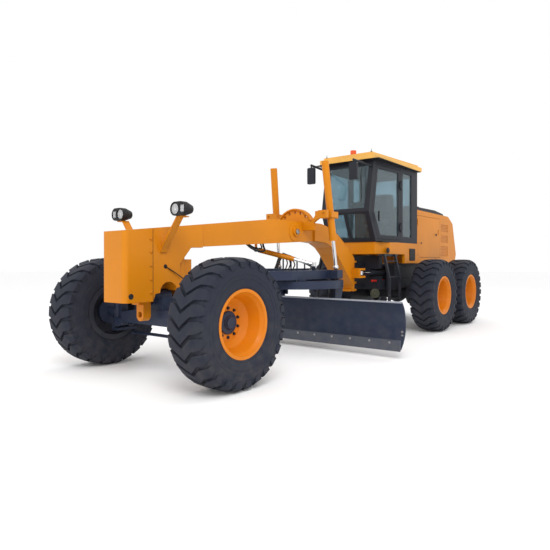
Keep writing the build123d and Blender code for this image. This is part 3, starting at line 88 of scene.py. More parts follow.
def new_material(name):
    """A node material with nothing on its sheet yet."""
    material = bpy.data.materials.new(name)
    material.use_nodes = True
    material.node_tree.nodes.clear()
    return material


def node(tree, kind, place=(0, 0), **values):
    """Add a node, set its plain properties and place it on the sheet."""
    made = tree.nodes.new(kind)
    made.location = place
    for key, value in values.items():
        setattr(made, key, value)
    return made


floor_material = new_material("studio_floor")
tree = floor_material.node_tree
shader = node(tree, "ShaderNodeBsdfPrincipled")
shader.inputs["Base Color"].default_value = FLOOR_WHITE
shader.inputs["Roughness"].default_value = 0.9
output = node(tree, "ShaderNodeOutputMaterial", (300, 0))
tree.links.new(shader.outputs["BSDF"], output.inputs["Surface"])

floor_mesh = bpy.data.meshes.new("studio_floor")
floor_corners = [(x * FLOOR_REACH, y * FLOOR_REACH, 0) for x, y in ((-1, -1), (1, -1), (1, 1), (-1, 1))]
floor_mesh.from_pydata(floor_corners, [], [(0, 1, 2, 3)])
floor_mesh.materials.append(floor_material)
floor = bpy.data.objects.new("studio_floor", floor_mesh)
bpy.context.scene.collection.objects.link(floor)

world = bpy.data.worlds.new("studio")
world.use_nodes = True
world.node_tree.nodes["Background"].inputs["Color"].default_value = STUDIO_WHITE
world.node_tree.nodes["Background"].inputs["Strength"].default_value = 1.0
bpy.context.scene.world = world
bpy.context.scene.view_settings.view_transform = "Standard"


def add_lamp(name, place, target, size, power):
    """A large soft lamp at a place, turned to a target."""
    lamp_data = bpy.data.lights.new(name, "AREA")
    lamp_data.shape = "DISK"
    lamp_data.size = size
    lamp_data.energy = power
    lamp = bpy.data.objects.new(name, lamp_data)
    lamp.location = place
    lamp.rotation_euler = (Vector(target) - Vector(place)).to_track_quat("-Z", "Y").to_euler()
    bpy.context.scene.collection.objects.link(lamp)


add_lamp("key_lamp", (7.0, -9.0, 9.0), (0.0, -1.0, 1.0), 6.0, 620.0)
add_lamp("fill_lamp", (-9.0, -6.0, 7.0), (0.0, 0.0, 1.0), 7.0, 90.0)
add_lamp("back_lamp", (3.0, 10.0, 9.0), (0.0, 2.0, 1.5), 6.0, 200.0)
print("lamps", len(bpy.data.lights))

# %% [markdown]
# Every painted part of the machine shows the same few effects: a faint drift of colour from
# one place to the next, tiny specks, wear where an edge is bare, and dust low down and on top.
# They could be painted in each material, but one shared node group keeps them alike. Each
# material then gives the group its own colours and amounts.

# %% Node group for worn paint
EDGE_RADIUS = 0.007
SPECK_HEIGHT = 0.002
DUST_FROM_Z = 1.15
DUST_FULL_Z = 0.25
DRIFT_SCALE = 1.6
CLOUD_SCALE = 9.0
SPECK_SCALE = 140.0
SHADE_BROWN = (0.02, 0.015, 0.01, 1.0)
SHADE_DEPTH = 0.16
GLOSS_CHANGE = 0.16
GROUP_INPUTS = {
    "Paint": (0.8, 0.4, 0.02, 1.0),
    "Bare": (0.12, 0.12, 0.12, 1.0),
    "Dust": (0.42, 0.37, 0.30, 1.0),
    "Edge wear": 0.5,
    "Dust amount": 0.3,
    "Gloss roughness": 0.35,
    "Grain": 0.05,
}
GROUP_OUTPUTS = {"Color": "NodeSocketColor", "Roughness": "NodeSocketFloat", "Normal": "NodeSocketVector"}


def math_node(tree, operation, place, *inputs):
    """A math node with numbers or linked sockets as its inputs."""
    made = node(tree, "ShaderNodeMath", place, operation=operation, use_clamp=operation != "MULTIPLY")
    for index, value in enumerate(inputs):
        if isinstance(value, (int, float)):
            made.inputs[index].default_value = value
        else:
            tree.links.new(value, made.inputs[index])
    return made.outputs[0]


def mix_color(tree, place, factor, first, second):
    """A colour mix whose three inputs are values or linked sockets."""
    made = node(tree, "ShaderNodeMix", place, data_type="RGBA")
    for socket, value in ((made.inputs[0], factor), (made.inputs[6], first), (made.inputs[7], second)):
        if isinstance(value, (int, float, tuple)):
            socket.default_value = value
        else:
            tree.links.new(value, socket)
    return made.outputs[2]


def noise(tree, place, coordinates, scale, detail):
    """A noise texture read in object coordinates."""
    made = node(tree, "ShaderNodeTexNoise", place)
    made.inputs["Scale"].default_value = scale
    made.inputs["Detail"].default_value = detail
    tree.links.new(coordinates, made.inputs["Vector"])
    return made.outputs["Fac"]


def ramp(tree, place, value, low, high):
    """Stretch a value so that low becomes 0 and high becomes 1."""
    made = node(tree, "ShaderNodeMapRange", place)
    made.inputs["From Min"].default_value = low
    made.inputs["From Max"].default_value = high
    tree.links.new(value, made.inputs["Value"])
    return made.outputs["Result"]


def add_group_sockets(tree):
    """The group's inputs with their usual values, and its three outputs."""
    for name, value in GROUP_INPUTS.items():
        kind = "NodeSocketColor" if isinstance(value, tuple) else "NodeSocketFloat"
        socket = tree.interface.new_socket(name=name, in_out="INPUT", socket_type=kind)
        socket.default_value = value
    for name, kind in GROUP_OUTPUTS.items():
        tree.interface.new_socket(name=name, in_out="OUTPUT", socket_type=kind)


def wear_mask(tree, rounded, true_normal, cloud, amount):
    """Where bare metal shows: on edges, where the rounded normal leaves the true one, in patches."""
    turned = node(tree, "ShaderNodeVectorMath", (-700, 500), operation="DOT_PRODUCT")
    tree.links.new(rounded, turned.inputs[0])
    tree.links.new(true_normal, turned.inputs[1])
    edge = math_node(tree, "SUBTRACT", (-500, 500), 1.0, turned.outputs["Value"])
    edge = ramp(tree, (-300, 500), edge, 0.02, 0.22)
    patch = ramp(tree, (-500, 300), cloud, 0.52, 0.66)
    edge = math_node(tree, "MULTIPLY", (-100, 500), edge, patch)
    return math_node(tree, "MULTIPLY", (0, 600), edge, amount)


def dust_mask(tree, place, true_normal, cloud, amount):
    """Where dust lies: on faces that look up and near the floor, in a broken film."""
    facing = node(tree, "ShaderNodeSeparateXYZ", (-700, 800))
    tree.links.new(true_normal, facing.inputs[0])
    up = ramp(tree, (-500, 800), facing.outputs["Z"], 0.55, 1.0)
    spot = node(tree, "ShaderNodeSeparateXYZ", (-700, 1000))
    tree.links.new(place, spot.inputs[0])
    low = ramp(tree, (-500, 1000), spot.outputs["Z"], DUST_FROM_Z, DUST_FULL_Z)
    settled = math_node(tree, "MAXIMUM", (-300, 900), up, low)
    film = ramp(tree, (-500, -500), cloud, 0.35, 0.75)
    settled = math_node(tree, "MULTIPLY", (-100, 900), settled, film)
    return math_node(tree, "MULTIPLY", (100, 900), settled, amount)


def build_worn_paint():
    """Shared colour, roughness and normal of painted metal with wear and dust."""
    tree = bpy.data.node_groups.new("worn_paint", "ShaderNodeTree")
    add_group_sockets(tree)
    given = node(tree, "NodeGroupInput", (-1200, 0))
    place = node(tree, "ShaderNodeTexCoord", (-1200, -400)).outputs["Object"]
    true_normal = node(tree, "ShaderNodeNewGeometry", (-1200, 400)).outputs["Normal"]

    drift = noise(tree, (-900, -300), place, DRIFT_SCALE, 3.0)
    cloud = noise(tree, (-900, -500), place, CLOUD_SCALE, 6.0)
    specks = noise(tree, (-900, -700), place, SPECK_SCALE, 3.0)
    shade = ramp(tree, (-700, -300), drift, 0.25, 0.75)
    shaded = mix_color(tree, (-500, -100), SHADE_DEPTH, given.outputs["Paint"], SHADE_BROWN)
    painted = mix_color(tree, (-300, -100), shade, shaded, given.outputs["Paint"])

    round_edge = node(tree, "ShaderNodeBevel", (-900, 500), samples=4)
    round_edge.inputs["Radius"].default_value = EDGE_RADIUS
    rounded = round_edge.outputs["Normal"]
    edge = wear_mask(tree, rounded, true_normal, cloud, given.outputs["Edge wear"])
    worn = mix_color(tree, (100, 100), edge, painted, given.outputs["Bare"])
    settled = dust_mask(tree, place, true_normal, cloud, given.outputs["Dust amount"])
    color = mix_color(tree, (300, 200), settled, worn, given.outputs["Dust"])

    rough = ramp(tree, (100, -300), specks, 0.0, 1.0)
    rough = math_node(tree, "MULTIPLY", (300, -300), rough, GLOSS_CHANGE)
    rough = math_node(tree, "ADD", (400, -300), rough, given.outputs["Gloss roughness"])
    rough = math_node(tree, "ADD", (500, -300), rough, settled)

    bump = node(tree, "ShaderNodeBump", (500, -600))
    bump.inputs["Distance"].default_value = SPECK_HEIGHT
    tree.links.new(given.outputs["Grain"], bump.inputs["Strength"])
    tree.links.new(specks, bump.inputs["Height"])
    tree.links.new(rounded, bump.inputs["Normal"])
    result = node(tree, "NodeGroupOutput", (900, 0))
    tree.links.new(color, result.inputs["Color"])
    tree.links.new(rough, result.inputs["Roughness"])
    tree.links.new(bump.outputs["Normal"], result.inputs["Normal"])
    return tree


worn_paint = build_worn_paint()
print("group", worn_paint.name, len(worn_paint.nodes), "nodes")

# %% [markdown]
# The machine has few finishes: orange gloss paint on the big parts, a dark blue-grey on the
# working parts underneath, dark grey round the cab, and a paler yellow roof. Each is the
# shared group with its own colours and a thin clear coat. The rims are orange outside. On the
# side that looks at the machine's middle, deep in the wheel where shade falls, a painted shade
# makes them dark.

# %% Painted finishes
# Dark painted shade for the rims' inner side, deep in the wheel where shade falls.
RIM_PAINTED_SHADE = (0.020, 0.024, 0.036, 1.0)
RIM_ORANGE = (0.68, 0.195, 0.001)
RIM_EDGE = 0.003
FRONT_RIM_SHADE_WITHIN = 1.070
REAR_RIM_SHADE_WITHIN = 1.010
PAINT_SPECULAR = 0.22
METAL_SPECULAR = 0.5
COAT_ROUGHNESS = 0.12


def rim_color_and_shade(tree, paint, shade_within):
    """The paint's colour outside, and a dark painted shade nearer the middle than the given distance."""
    place = node(tree, "ShaderNodeTexCoord", (-1100, 0)).outputs["Object"]
    parts = node(tree, "ShaderNodeSeparateXYZ", (-900, 0))
    tree.links.new(place, parts.inputs[0])
    across = node(tree, "ShaderNodeMath", (-800, 0), operation="ABSOLUTE")
    tree.links.new(parts.outputs["X"], across.inputs[0])
    outside = ramp(tree, (-700, 0), across.outputs[0], shade_within - RIM_EDGE, shade_within + RIM_EDGE)
    return mix_color(tree, (-500, 0), outside, RIM_PAINTED_SHADE, (*paint, 1.0))


def paint_material(name, paint, rough=0.34, coat=0.06, wear=0.35, dust=0.06, grain=0.04, metallic=0.0,
                   bare=(0.10, 0.10, 0.11), shade_within=None):
    """A painted or bare metal made from the shared group; a given distance adds a dark painted shade
    nearer the middle.
    """
    material = new_material(name)
    tree = material.node_tree
    group = node(tree, "ShaderNodeGroup", (-300, 0), node_tree=worn_paint)
    given = {"Paint": (*paint, 1.0), "Bare": (*bare, 1.0), "Edge wear": wear, "Dust amount": dust,
             "Gloss roughness": rough, "Grain": grain}
    for socket, value in given.items():
        group.inputs[socket].default_value = value
    shader = node(tree, "ShaderNodeBsdfPrincipled", (0, 0))
    # A rim gets its dark painted shade on the side towards the machine's middle.
    if shade_within is not None:
        tree.links.new(rim_color_and_shade(tree, paint, shade_within), group.inputs["Paint"])
    specular = METAL_SPECULAR if metallic > 0.5 else PAINT_SPECULAR
    shader.inputs["Metallic"].default_value = metallic
    shader.inputs["Specular IOR Level"].default_value = specular
    shader.inputs["Coat Weight"].default_value = coat
    shader.inputs["Coat Roughness"].default_value = COAT_ROUGHNESS
    output = node(tree, "ShaderNodeOutputMaterial", (300, 0))
    for source, target in (("Color", "Base Color"), ("Roughness", "Roughness"), ("Normal", "Normal")):
        tree.links.new(group.outputs[source], shader.inputs[target])
    tree.links.new(shader.outputs["BSDF"], output.inputs["Surface"])
    return material


orange = paint_material("orange_paint", (0.66, 0.220, 0.0015))
# Both rims carry a dark painted shade on their inner side.
front_rim = paint_material("front_rim", RIM_ORANGE, rough=0.38, dust=0.04, shade_within=FRONT_RIM_SHADE_WITHIN)
rear_rim = paint_material("rear_rim", RIM_ORANGE, rough=0.38, dust=0.04, shade_within=REAR_RIM_SHADE_WITHIN)
dark = paint_material("dark_paint", (0.014, 0.017, 0.025), rough=0.42)
blue_grey = paint_material("blue_grey_paint", (0.020, 0.030, 0.062), rough=0.36, wear=0.5)
roof_yellow = paint_material("roof_paint", (0.84, 0.46, 0.10), rough=0.35)
steel = paint_material("worn_steel", (0.33, 0.33, 0.34), rough=0.36, coat=0.0, metallic=0.9, dust=0.25)
edge_steel = paint_material("edge_steel", (0.085, 0.095, 0.125), rough=0.40, coat=0.0, metallic=0.6,
                            dust=0.1)
# A light grey that stands for a painted highlight along the blade's top bar.
top_bar_highlight = paint_material("top_bar_highlight", (0.36, 0.38, 0.43), rough=0.40, wear=0.2)
chrome = paint_material("chrome_rod", (0.78, 0.79, 0.80), rough=0.10, coat=0.0, metallic=1.0, wear=0.0,
                        dust=0.03, grain=0.01)
cast = paint_material("cast_block", (0.05, 0.05, 0.055), rough=0.6, coat=0.0, grain=0.3)
plastic = paint_material("black_plastic", (0.018, 0.018, 0.020), rough=0.48, coat=0.0, wear=0.0,
                         grain=0.12)
seat_cloth = paint_material("seat_cloth", (0.028, 0.029, 0.033), rough=0.78, coat=0.0, wear=0.0,
                            grain=0.5)
lamp_red = paint_material("lamp_red", (0.55, 0.02, 0.012), rough=0.18, coat=0.6, wear=0.0, grain=0.02)
lamp_amber = paint_material("lamp_amber", (0.80, 0.10, 0.01), rough=0.15, coat=0.4, wear=0.0, grain=0.02)
olive = paint_material("olive_cap", (0.045, 0.047, 0.028), rough=0.5, wear=0.0)
print("paints", len(bpy.data.materials))

# %% [markdown]
# Rubber is nearly black but never flat: moulding leaves fine grain, the sidewall has a faint
# sheen and dust sits in the tread. Glass in this cab is tinted grey-blue, with faint smears
# and a soft reflection of the studio.

# %% Rubber and glass
SMEAR_SHADE = 0.78
GLASS_IOR = 1.45


def rubber_material(name, tone, rough=0.62):
    """Moulded rubber with grain, a little dust and no coat."""
    return paint_material(name, tone, rough=rough, coat=0.0, wear=0.0, dust=0.07, grain=0.35)


def glass_material(name, tint, transmission, rough=0.03):
    """Tinted glass with faint smears, a little deeper and duller in them."""
    material = new_material(name)
    tree = material.node_tree
    place = node(tree, "ShaderNodeTexCoord", (-900, 0)).outputs["Object"]
    smear = noise(tree, (-700, 0), place, 4.0, 5.0)
    film = ramp(tree, (-500, 0), smear, 0.3, 0.8)
    deep = tuple(SMEAR_SHADE * value for value in tint)
    color = mix_color(tree, (-300, 0), film, (*tint, 1.0), (*deep, 1.0))
    blur = math_node(tree, "MULTIPLY", (-300, -200), film, 0.05)
    blur = math_node(tree, "ADD", (-100, -200), blur, rough)
    shader = node(tree, "ShaderNodeBsdfPrincipled", (0, 0))
    shader.inputs["Transmission Weight"].default_value = transmission
    shader.inputs["IOR"].default_value = GLASS_IOR
    output = node(tree, "ShaderNodeOutputMaterial", (300, 0))
    tree.links.new(color, shader.inputs["Base Color"])
    tree.links.new(blur, shader.inputs["Roughness"])
    tree.links.new(shader.outputs["BSDF"], output.inputs["Surface"])
    return material


tyre_rubber = rubber_material("tyre_rubber", (0.017, 0.021, 0.036))
hose_rubber = rubber_material("hose_rubber", (0.014, 0.014, 0.016), rough=0.5)
cab_glass = glass_material("cab_glass", (0.40, 0.56, 0.63), 0.90)
lens_glass = glass_material("lens_glass", (0.92, 0.94, 0.96), 0.55, rough=0.06)
mirror_glass = paint_material("mirror_glass", (0.70, 0.74, 0.78), rough=0.03, coat=0.0, metallic=1.0,
                              wear=0.0, dust=0.02, grain=0.0)
print("rubber and glass", cab_glass.name)

# %% [markdown]
# Each solid of the frame keeps its shape and gets the finish of the real part. A short table
# from finish to solids keeps this readable.

# %% Finishes of the frame's solids
FINISHES = {
    orange: ["hood_shell", "hood_door_left", "hood_door_right", "cab_base", "front_frame", "nose_box",
             "saddle", "lift_barrel_left", "lift_barrel_right", "swing_barrel"],
    roof_yellow: ["cab_roof"],
    dark: ["hood_deck", "rear_grille", "cab_frame", "cab_door_left", "cab_door_right",
           "ladders_and_tanks", "rear_bumper", "rear_frame", "rear_axle", "articulation_barrels"],
    blue_grey: ["front_axle", "lean_bracket_left", "lean_bracket_right", "lean_bar", "knuckle_left",
                "knuckle_right", "tie_rod", "drawbar", "circle", "blade_carrier", "moldboard"],
    edge_steel: ["cutting_edge"],
    steel: ["drawbar_ball", "tie_ball", "swing_trunnion"],
    chrome: ["lift_rod_left", "lift_rod_right", "swing_rod", "articulation_rod_left",
             "articulation_rod_right"],
    cab_glass: ["cab_glass", "door_glass_left", "door_glass_right"],
    cast: ["engine_block"],
    seat_cloth: ["cab_interior"],
    plastic: ["headlamps"],
    lamp_amber: ["rear_lamps"],
}
FRONT_AXLE_Y = 0.0
MID_AXLE_Y = 5.53
REAR_AXLE_Y = 7.07
# each wheel's body, its side (1 is left) and its axle
WHEELS = {
    "front_left": ("wheel_fl", 1, FRONT_AXLE_Y),
    "front_right": ("wheel_fr", -1, FRONT_AXLE_Y),
    "mid_left": ("wheel_ml", 1, MID_AXLE_Y),
    "mid_right": ("wheel_mr", -1, MID_AXLE_Y),
    "rear_left": ("wheel_rl", 1, REAR_AXLE_Y),
    "rear_right": ("wheel_rr", -1, REAR_AXLE_Y),
}
for wheel in WHEELS:
    rim_finish = front_rim if wheel.startswith("front") else rear_rim
    FINISHES.setdefault(rim_finish, []).append("rim_" + wheel)
    FINISHES.setdefault(tyre_rubber, []).append("tyre_" + wheel)
for finish, names in FINISHES.items():
    for name in names:
        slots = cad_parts[name].data.materials
        for index in range(len(slots)):
            slots[index] = finish
print("dressed", sum(len(names) for names in FINISHES.values()), "of", len(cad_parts))

# %% [markdown]
# Many details repeat: bolts, hoses, bars and plates. A few helpers build them from bmesh or
# curves, give them their finish and fix them to the body that carries them. What stands on
# both sides of the machine is given once, for its left side.

# %% Helpers for the added pieces
SIDES = (-1, 1)
SIDE_NAMES = {-1: "right", 1: "left"}
LEFT = (1, 0, 0)
RIGHT = (-1, 0, 0)
AHEAD = (0, -1, 0)
UP = (0, 0, 1)
HEAD_TAPER = 0.92
WASHER_REACH = 1.4
WASHER_TOP = 1.35
WASHER_SHARE = 0.25
HOSE_ROUNDNESS = 3
HOSE_STEPS = 8


def place_piece(name, mesh, finish, body, smooth=True):
    """Turn a mesh into a named piece on a body."""
    piece = bpy.data.objects.new(name, mesh)
    bpy.context.scene.collection.objects.link(piece)
    mesh.materials.append(finish)
    if smooth:
        for polygon in mesh.polygons:
            polygon.use_smooth = True
    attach(piece, body)
    return piece


def mesh_from(name, work):
    """Close a bmesh into a mesh, with its sides turned outwards."""
    bmesh.ops.recalc_face_normals(work, faces=work.faces)
    mesh = bpy.data.meshes.new(name)
    work.to_mesh(mesh)
    work.free()
    return mesh


def join_rings(work, rings, closed=False):
    """Faces from each ring of vertices to the next, and back to the first when closed."""
    following = rings[1:] + rings[:1] if closed else rings[1:]
    for first, second in zip(rings, following):
        for index in range(len(first)):
            after = (index + 1) % len(first)
            work.faces.new((first[index], first[after], second[after], second[index]))


def block_matrix(low, high):
    """What turns a unit cube into the block between two corners."""
    size = Vector(high) - Vector(low)
    middle = (Vector(high) + Vector(low)) / 2.0
    return Matrix.Translation(middle) @ Matrix.Diagonal((size.x, size.y, size.z, 1.0))


def block_on_side(side, x_range, y_range, z_range):
    """Corners of a block on the left (1) or right (-1) side, from its ranges on the left."""
    low_x, high_x = sorted(side * x for x in x_range)
    return at(low_x, y_range[0], z_range[0]), at(high_x, y_range[1], z_range[1])


def add_bolts(name, places, radius, height, finish, body):
    """Six-sided bolt heads at (point, direction) places, as one piece."""
    work = bmesh.new()
    for point, direction in places:
        way = Vector(direction).normalized()
        turn = way.to_track_quat("Z", "Y").to_matrix().to_4x4()
        head = Matrix.Translation(Vector(point) + way * height / 2.0) @ turn
        bmesh.ops.create_cone(work, cap_ends=True, segments=6, radius1=radius,
                              radius2=radius * HEAD_TAPER, depth=height, matrix=head)
        washer = Matrix.Translation(Vector(point) + way * height * 0.1) @ turn
        bmesh.ops.create_cone(work, cap_ends=True, segments=16, radius1=radius * WASHER_REACH,
                              radius2=radius * WASHER_TOP, depth=height * WASHER_SHARE, matrix=washer)
    return place_piece(name, mesh_from(name, work), finish, body, smooth=False)


def add_hose(name, points, radius, finish, body):
    """A round hose or bar along a smooth line through a few control points."""
    curve = bpy.data.curves.new(name, "CURVE")
    curve.dimensions = "3D"
    curve.bevel_depth = radius
    curve.bevel_resolution = HOSE_ROUNDNESS
    curve.use_fill_caps = True
    spline = curve.splines.new("NURBS")
    spline.points.add(len(points) - 1)
    for target, point in zip(spline.points, points):
        target.co = (*point, 1.0)
    spline.order_u = 3
    spline.use_endpoint_u = True
    curve.resolution_u = HOSE_STEPS
    curve.materials.append(finish)
    piece = bpy.data.objects.new(name, curve)
    bpy.context.scene.collection.objects.link(piece)
    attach(piece, body)
    return piece


def add_plates(name, corners, edge, finish, body):
    """Several blocks with rounded edges, given by two corners each, as one piece."""
    work = bmesh.new()
    for low, high in corners:
        bmesh.ops.create_cube(work, size=1.0, matrix=block_matrix(low, high))
    bmesh.ops.bevel(work, geom=list(work.edges), offset=edge, segments=2, affect="EDGES")
    return place_piece(name, mesh_from(name, work), finish, body, smooth=False)


print("helpers ready")

# %% [markdown]
# The wide tyres carry arrow-shaped bars that run from the crown over the shoulder and part of
# the way down the side. The body of the tyre is one spun section. Each bar is a small curved
# block that follows the crown, so its foot sinks into the tyre and its walls stand square.

# %% Tyres
TYRE_X = 1.11
TYRE_RADIUS = 0.675
TYRE_HALF = 0.2225
TYRE_SEGMENTS = 104
TREAD_DEPTH = 0.030
BAR_SUNK = 0.006
BARS = 26
BAR_PITCH = 2.0 * math.pi / BARS
BAR_WIDTH = 0.72 * BAR_PITCH
BAR_BEND = 0.55
BAR_DROP = 0.62
SHOULDER_DROP_BACK = 0.10
BAR_STATIONS = [0.0, 0.14, 0.28, 0.42, BAR_BEND, 0.70, 0.85, 0.97]
# down the side: drop from the crown, place out, share of the bar's width, depth
FLANK_STATIONS = [(0.045, 1.002, 0.86, 0.020), (0.105, 1.0, 0.62, 0.012)]
SHOULDER = 0.72
CROWN_DROP = 0.016
SHOULDER_DROP = 0.030
SHOULDER_SPREAD = 0.148
SHARP_ABOVE = math.radians(38.0)


def crown_radius(x):
    """Outer radius of the tread at a distance from the tyre's middle."""
    share = min(abs(x) / TYRE_HALF, 1.0)
    past_shoulder = max(share - SHOULDER, 0.0) ** 1.5 / SHOULDER_SPREAD
    return TYRE_RADIUS - CROWN_DROP * share ** 2 - SHOULDER_DROP * past_shoulder


def bar_line(share):
    """How far a bar has dropped back, in pitches, from the middle to the shoulder."""
    if share < BAR_BEND:
        return BAR_DROP * share / BAR_BEND
    return BAR_DROP + SHOULDER_DROP_BACK * (share - BAR_BEND) / (1.0 - BAR_BEND)


def bar_row(levels, middle):
    """One cross-section of a bar, with two corners for each level (x, radius, half angle)."""
    return [(x, radius, middle + sign * half) for x, radius, half in levels for sign in (-1, 1)]


def bar_rows(half, start):
    """Cross-sections of a half bar, from the middle over the shoulder and down the side."""
    rows = []
    for share in BAR_STATIONS:
        x = half * share * TYRE_HALF
        outer = crown_radius(x)
        wide = BAR_WIDTH * (1.0 if share < 0.9 else 0.92) / 2.0
        levels = [(x, outer, wide), (x, outer - TREAD_DEPTH - BAR_SUNK, wide * 1.06)]
        rows.append(bar_row(levels, start - bar_line(share) * BAR_PITCH))
    for drop, out, narrow, depth in FLANK_STATIONS:
        x = half * TYRE_HALF * out
        wide = BAR_WIDTH * narrow / 2.0
        levels = [(x, TYRE_RADIUS - drop, wide), (x - half * depth, TYRE_RADIUS - drop, wide)]
        rows.append(bar_row(levels, start - bar_line(1.0) * BAR_PITCH))
    return rows


def add_bar(work, rows, centre, side):
    """Join the cross-sections of one half bar and close both ends."""
    made = []
    for row in rows:
        made.append([
            work.verts.new((
                centre[0] + side * x,
                centre[1] - radius * math.sin(angle),
                centre[2] + radius * math.cos(angle),
            ))
            for x, radius, angle in row
        ])
    for first, second in zip(made, made[1:]):
        for a, b in ((0, 1), (1, 3), (3, 2), (2, 0)):
            work.faces.new((first[a], first[b], second[b], second[a]))
    for end in (made[0], made[-1]):
        work.faces.new([end[corner] for corner in (0, 1, 3, 2)])


def spun_surface(work, profile, centre, axis_x):
    """Spin a closed profile of (along, radius) round an axis along X into a bmesh."""
    rings = []
    for along, radius in profile:
        ring = []
        for index in range(TYRE_SEGMENTS):
            angle = 2.0 * math.pi * index / TYRE_SEGMENTS
            ring.append(work.verts.new((
                centre[0] + axis_x * along,
                centre[1] + radius * math.cos(angle),
                centre[2] + radius * math.sin(angle),
            )))
        rings.append(ring)
    join_rings(work, rings, closed=True)


# half of the tyre's section, from the bead to the crown: distance from the middle and radius
TYRE_SECTION = [
    (0.178, 0.331), (0.196, 0.352), (0.210, 0.385), (0.219, 0.430), (0.2225, 0.480), (0.221, 0.530),
    (0.216, 0.572), (0.205, 0.610), (0.190, 0.632), (0.160, 0.640), (0.080, 0.644), (0.0, 0.645),
]
# raised rings on the side: distance from the middle and radius
SIDE_RINGS = [(0.207, 0.372), (0.2215, 0.455), (0.2215, 0.500)]


def mirrored(profile):
    """The same profile on the tyre's other side."""
    return [(-x, radius) for x, radius in profile]


def add_tyre(name, body, side, y):
    """One dressed tyre on its wheel."""
    centre = at(side * TYRE_X, y, TYRE_RADIUS)
    work = bmesh.new()
    spun_surface(work, TYRE_SECTION + mirrored(TYRE_SECTION[-2::-1]), centre, side)
    for x, radius in SIDE_RINGS:
        band = [(x, radius), (x + 0.004, radius + 0.004), (x, radius + 0.010)]
        spun_surface(work, band, centre, side)
        spun_surface(work, mirrored(band), centre, side)
    for index in range(BARS):
        for half in (-1, 1):
            add_bar(work, bar_rows(half, BAR_PITCH * index), centre, side)
    mesh = mesh_from(name, work)
    piece = place_piece(name, mesh, tyre_rubber, body, smooth=False)
    mesh.set_sharp_from_angle(angle=SHARP_ABOVE)
    return piece


for wheel, (body, side, y) in WHEELS.items():
    tyre = add_tyre("tread_" + wheel, body, side, y)
    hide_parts("tyre_" + wheel)
print("tyre faces", len(tyre.data.polygons))

# %% [markdown]
# Round caps, domes, rings and lenses are all spun shapes, whatever way they face. One helper
# spins a short outline of distances and radii round any direction and closes both ends, so
# each fitting is a few numbers instead of a model of its own.

# %% Helpers for spun fittings
SPUN_SHARP_ABOVE = math.radians(35.0)
TIP_RADIUS = 0.002


def add_spun(name, parts, finish, body, segments=32):
    """Spun shapes as one piece; each part is (centre, direction, outline of (along, radius))."""
    work = bmesh.new()
    for centre, direction, outline in parts:
        turn = Vector(direction).to_track_quat("Z", "Y")
        rings = []
        for along, radius in outline:
            ring = []
            for index in range(segments):
                angle = 2.0 * math.pi * index / segments
                spot = Vector((radius * math.cos(angle), radius * math.sin(angle), along))
                ring.append(work.verts.new(Vector(centre) + turn @ spot))
            rings.append(ring)
        join_rings(work, rings)
        work.faces.new(rings[0][::-1])
        work.faces.new(rings[-1])
    mesh = mesh_from(name, work)
    piece = place_piece(name, mesh, finish, body)
    mesh.set_sharp_from_angle(angle=SPUN_SHARP_ABOVE)
    return piece


def dome(radius, height, steps=6, sunk=0.004):
    """Outline of a low dome, with its foot a little below the surface."""
    outline = [(-sunk, radius)]
    for step in range(steps):
        angle = 0.5 * math.pi * step / steps
        outline.append((height * math.sin(angle), radius * math.cos(angle)))
    return outline + [(height, radius * 0.02)]


print("spun helpers ready")

# %% [markdown]
# Each wheel is bolted to its hub by a ring of nuts, and a dished cap closes the hub's middle.
# The front hubs sit further out than the rear ones, so each kind has a hub face of its own.

# %% Hub caps and wheel nuts
NUT_CIRCLE = 0.150
NUT_COUNT = 10
FRONT_HUB_FACE = 1.078
REAR_HUB_FACE = 1.018
HUB_CAP = [(-0.010, 0.121), (0.010, 0.121), (0.018, 0.112), (0.020, 0.075), (0.036, 0.066),
           (0.042, 0.050), (0.043, TIP_RADIUS)]


def add_hub(wheel, body, side, y):
    """Cap and ring of nuts on one wheel."""
    face = FRONT_HUB_FACE if wheel.startswith("front") else REAR_HUB_FACE
    direction = (side, 0.0, 0.0)
    places = []
    for index in range(NUT_COUNT):
        angle = 2.0 * math.pi * (index + 0.5) / NUT_COUNT
        nut_y = y + NUT_CIRCLE * math.cos(angle)
        nut_z = TYRE_RADIUS + NUT_CIRCLE * math.sin(angle)
        places.append((at(side * face, nut_y, nut_z), direction))
    add_bolts("nuts_" + wheel, places, 0.013, 0.020, dark, body)
    centre = at(side * face, y, TYRE_RADIUS)
    add_spun("hub_cap_" + wheel, [(centre, direction, HUB_CAP)], blue_grey, body, segments=40)


for wheel, (body, side, y) in WHEELS.items():
    add_hub(wheel, body, side, y)
print("hubs", len(WHEELS))

# %% [markdown]
# The nose is a casting bolted through its side walls, with a seam where it meets the welded
# frame. A plug closes its lower corner on each side.

# %% Nose bolts and seam
NOSE_HALF = 0.205
NOSE_BOLT_Y = -0.288
NOSE_BOLT_HEIGHTS = (1.55, 1.41, 1.26, 1.11, 0.965)
SEAM_X = (NOSE_HALF - 0.004, NOSE_HALF + 0.0015)
SEAM_Y = (-0.2655, -0.2605)
SEAM_Z = (0.88, 1.655)
PLUG_RIM = [(-0.004, 0.030), (0.004, 0.030), (0.007, 0.026), (0.007, 0.019), (0.003, 0.017),
            (0.003, TIP_RADIUS)]
for side in SIDES:
    label = SIDE_NAMES[side]
    bolts = [(at(side * NOSE_HALF, NOSE_BOLT_Y, z), (side, 0, 0)) for z in NOSE_BOLT_HEIGHTS]
    add_bolts("nose_bolts_" + label, bolts, 0.014, 0.012, orange, "front")
    seam = block_on_side(side, SEAM_X, SEAM_Y, SEAM_Z)
    add_plates("nose_seam_" + label, [seam], 0.0008, plastic, "front")
plugs = [(at(side * NOSE_HALF, -0.547, 0.934), (side, 0, 0), PLUG_RIM) for side in (1, -1)]
add_spun("nose_plugs", plugs, plastic, "front")
print("nose bolts", len(bolts), "a side")

# %% [markdown]
# Two work lamps stand above the nose on their brackets. Each has a bright round lens with its
# bulb in a black shell, and a small square lens beside it.

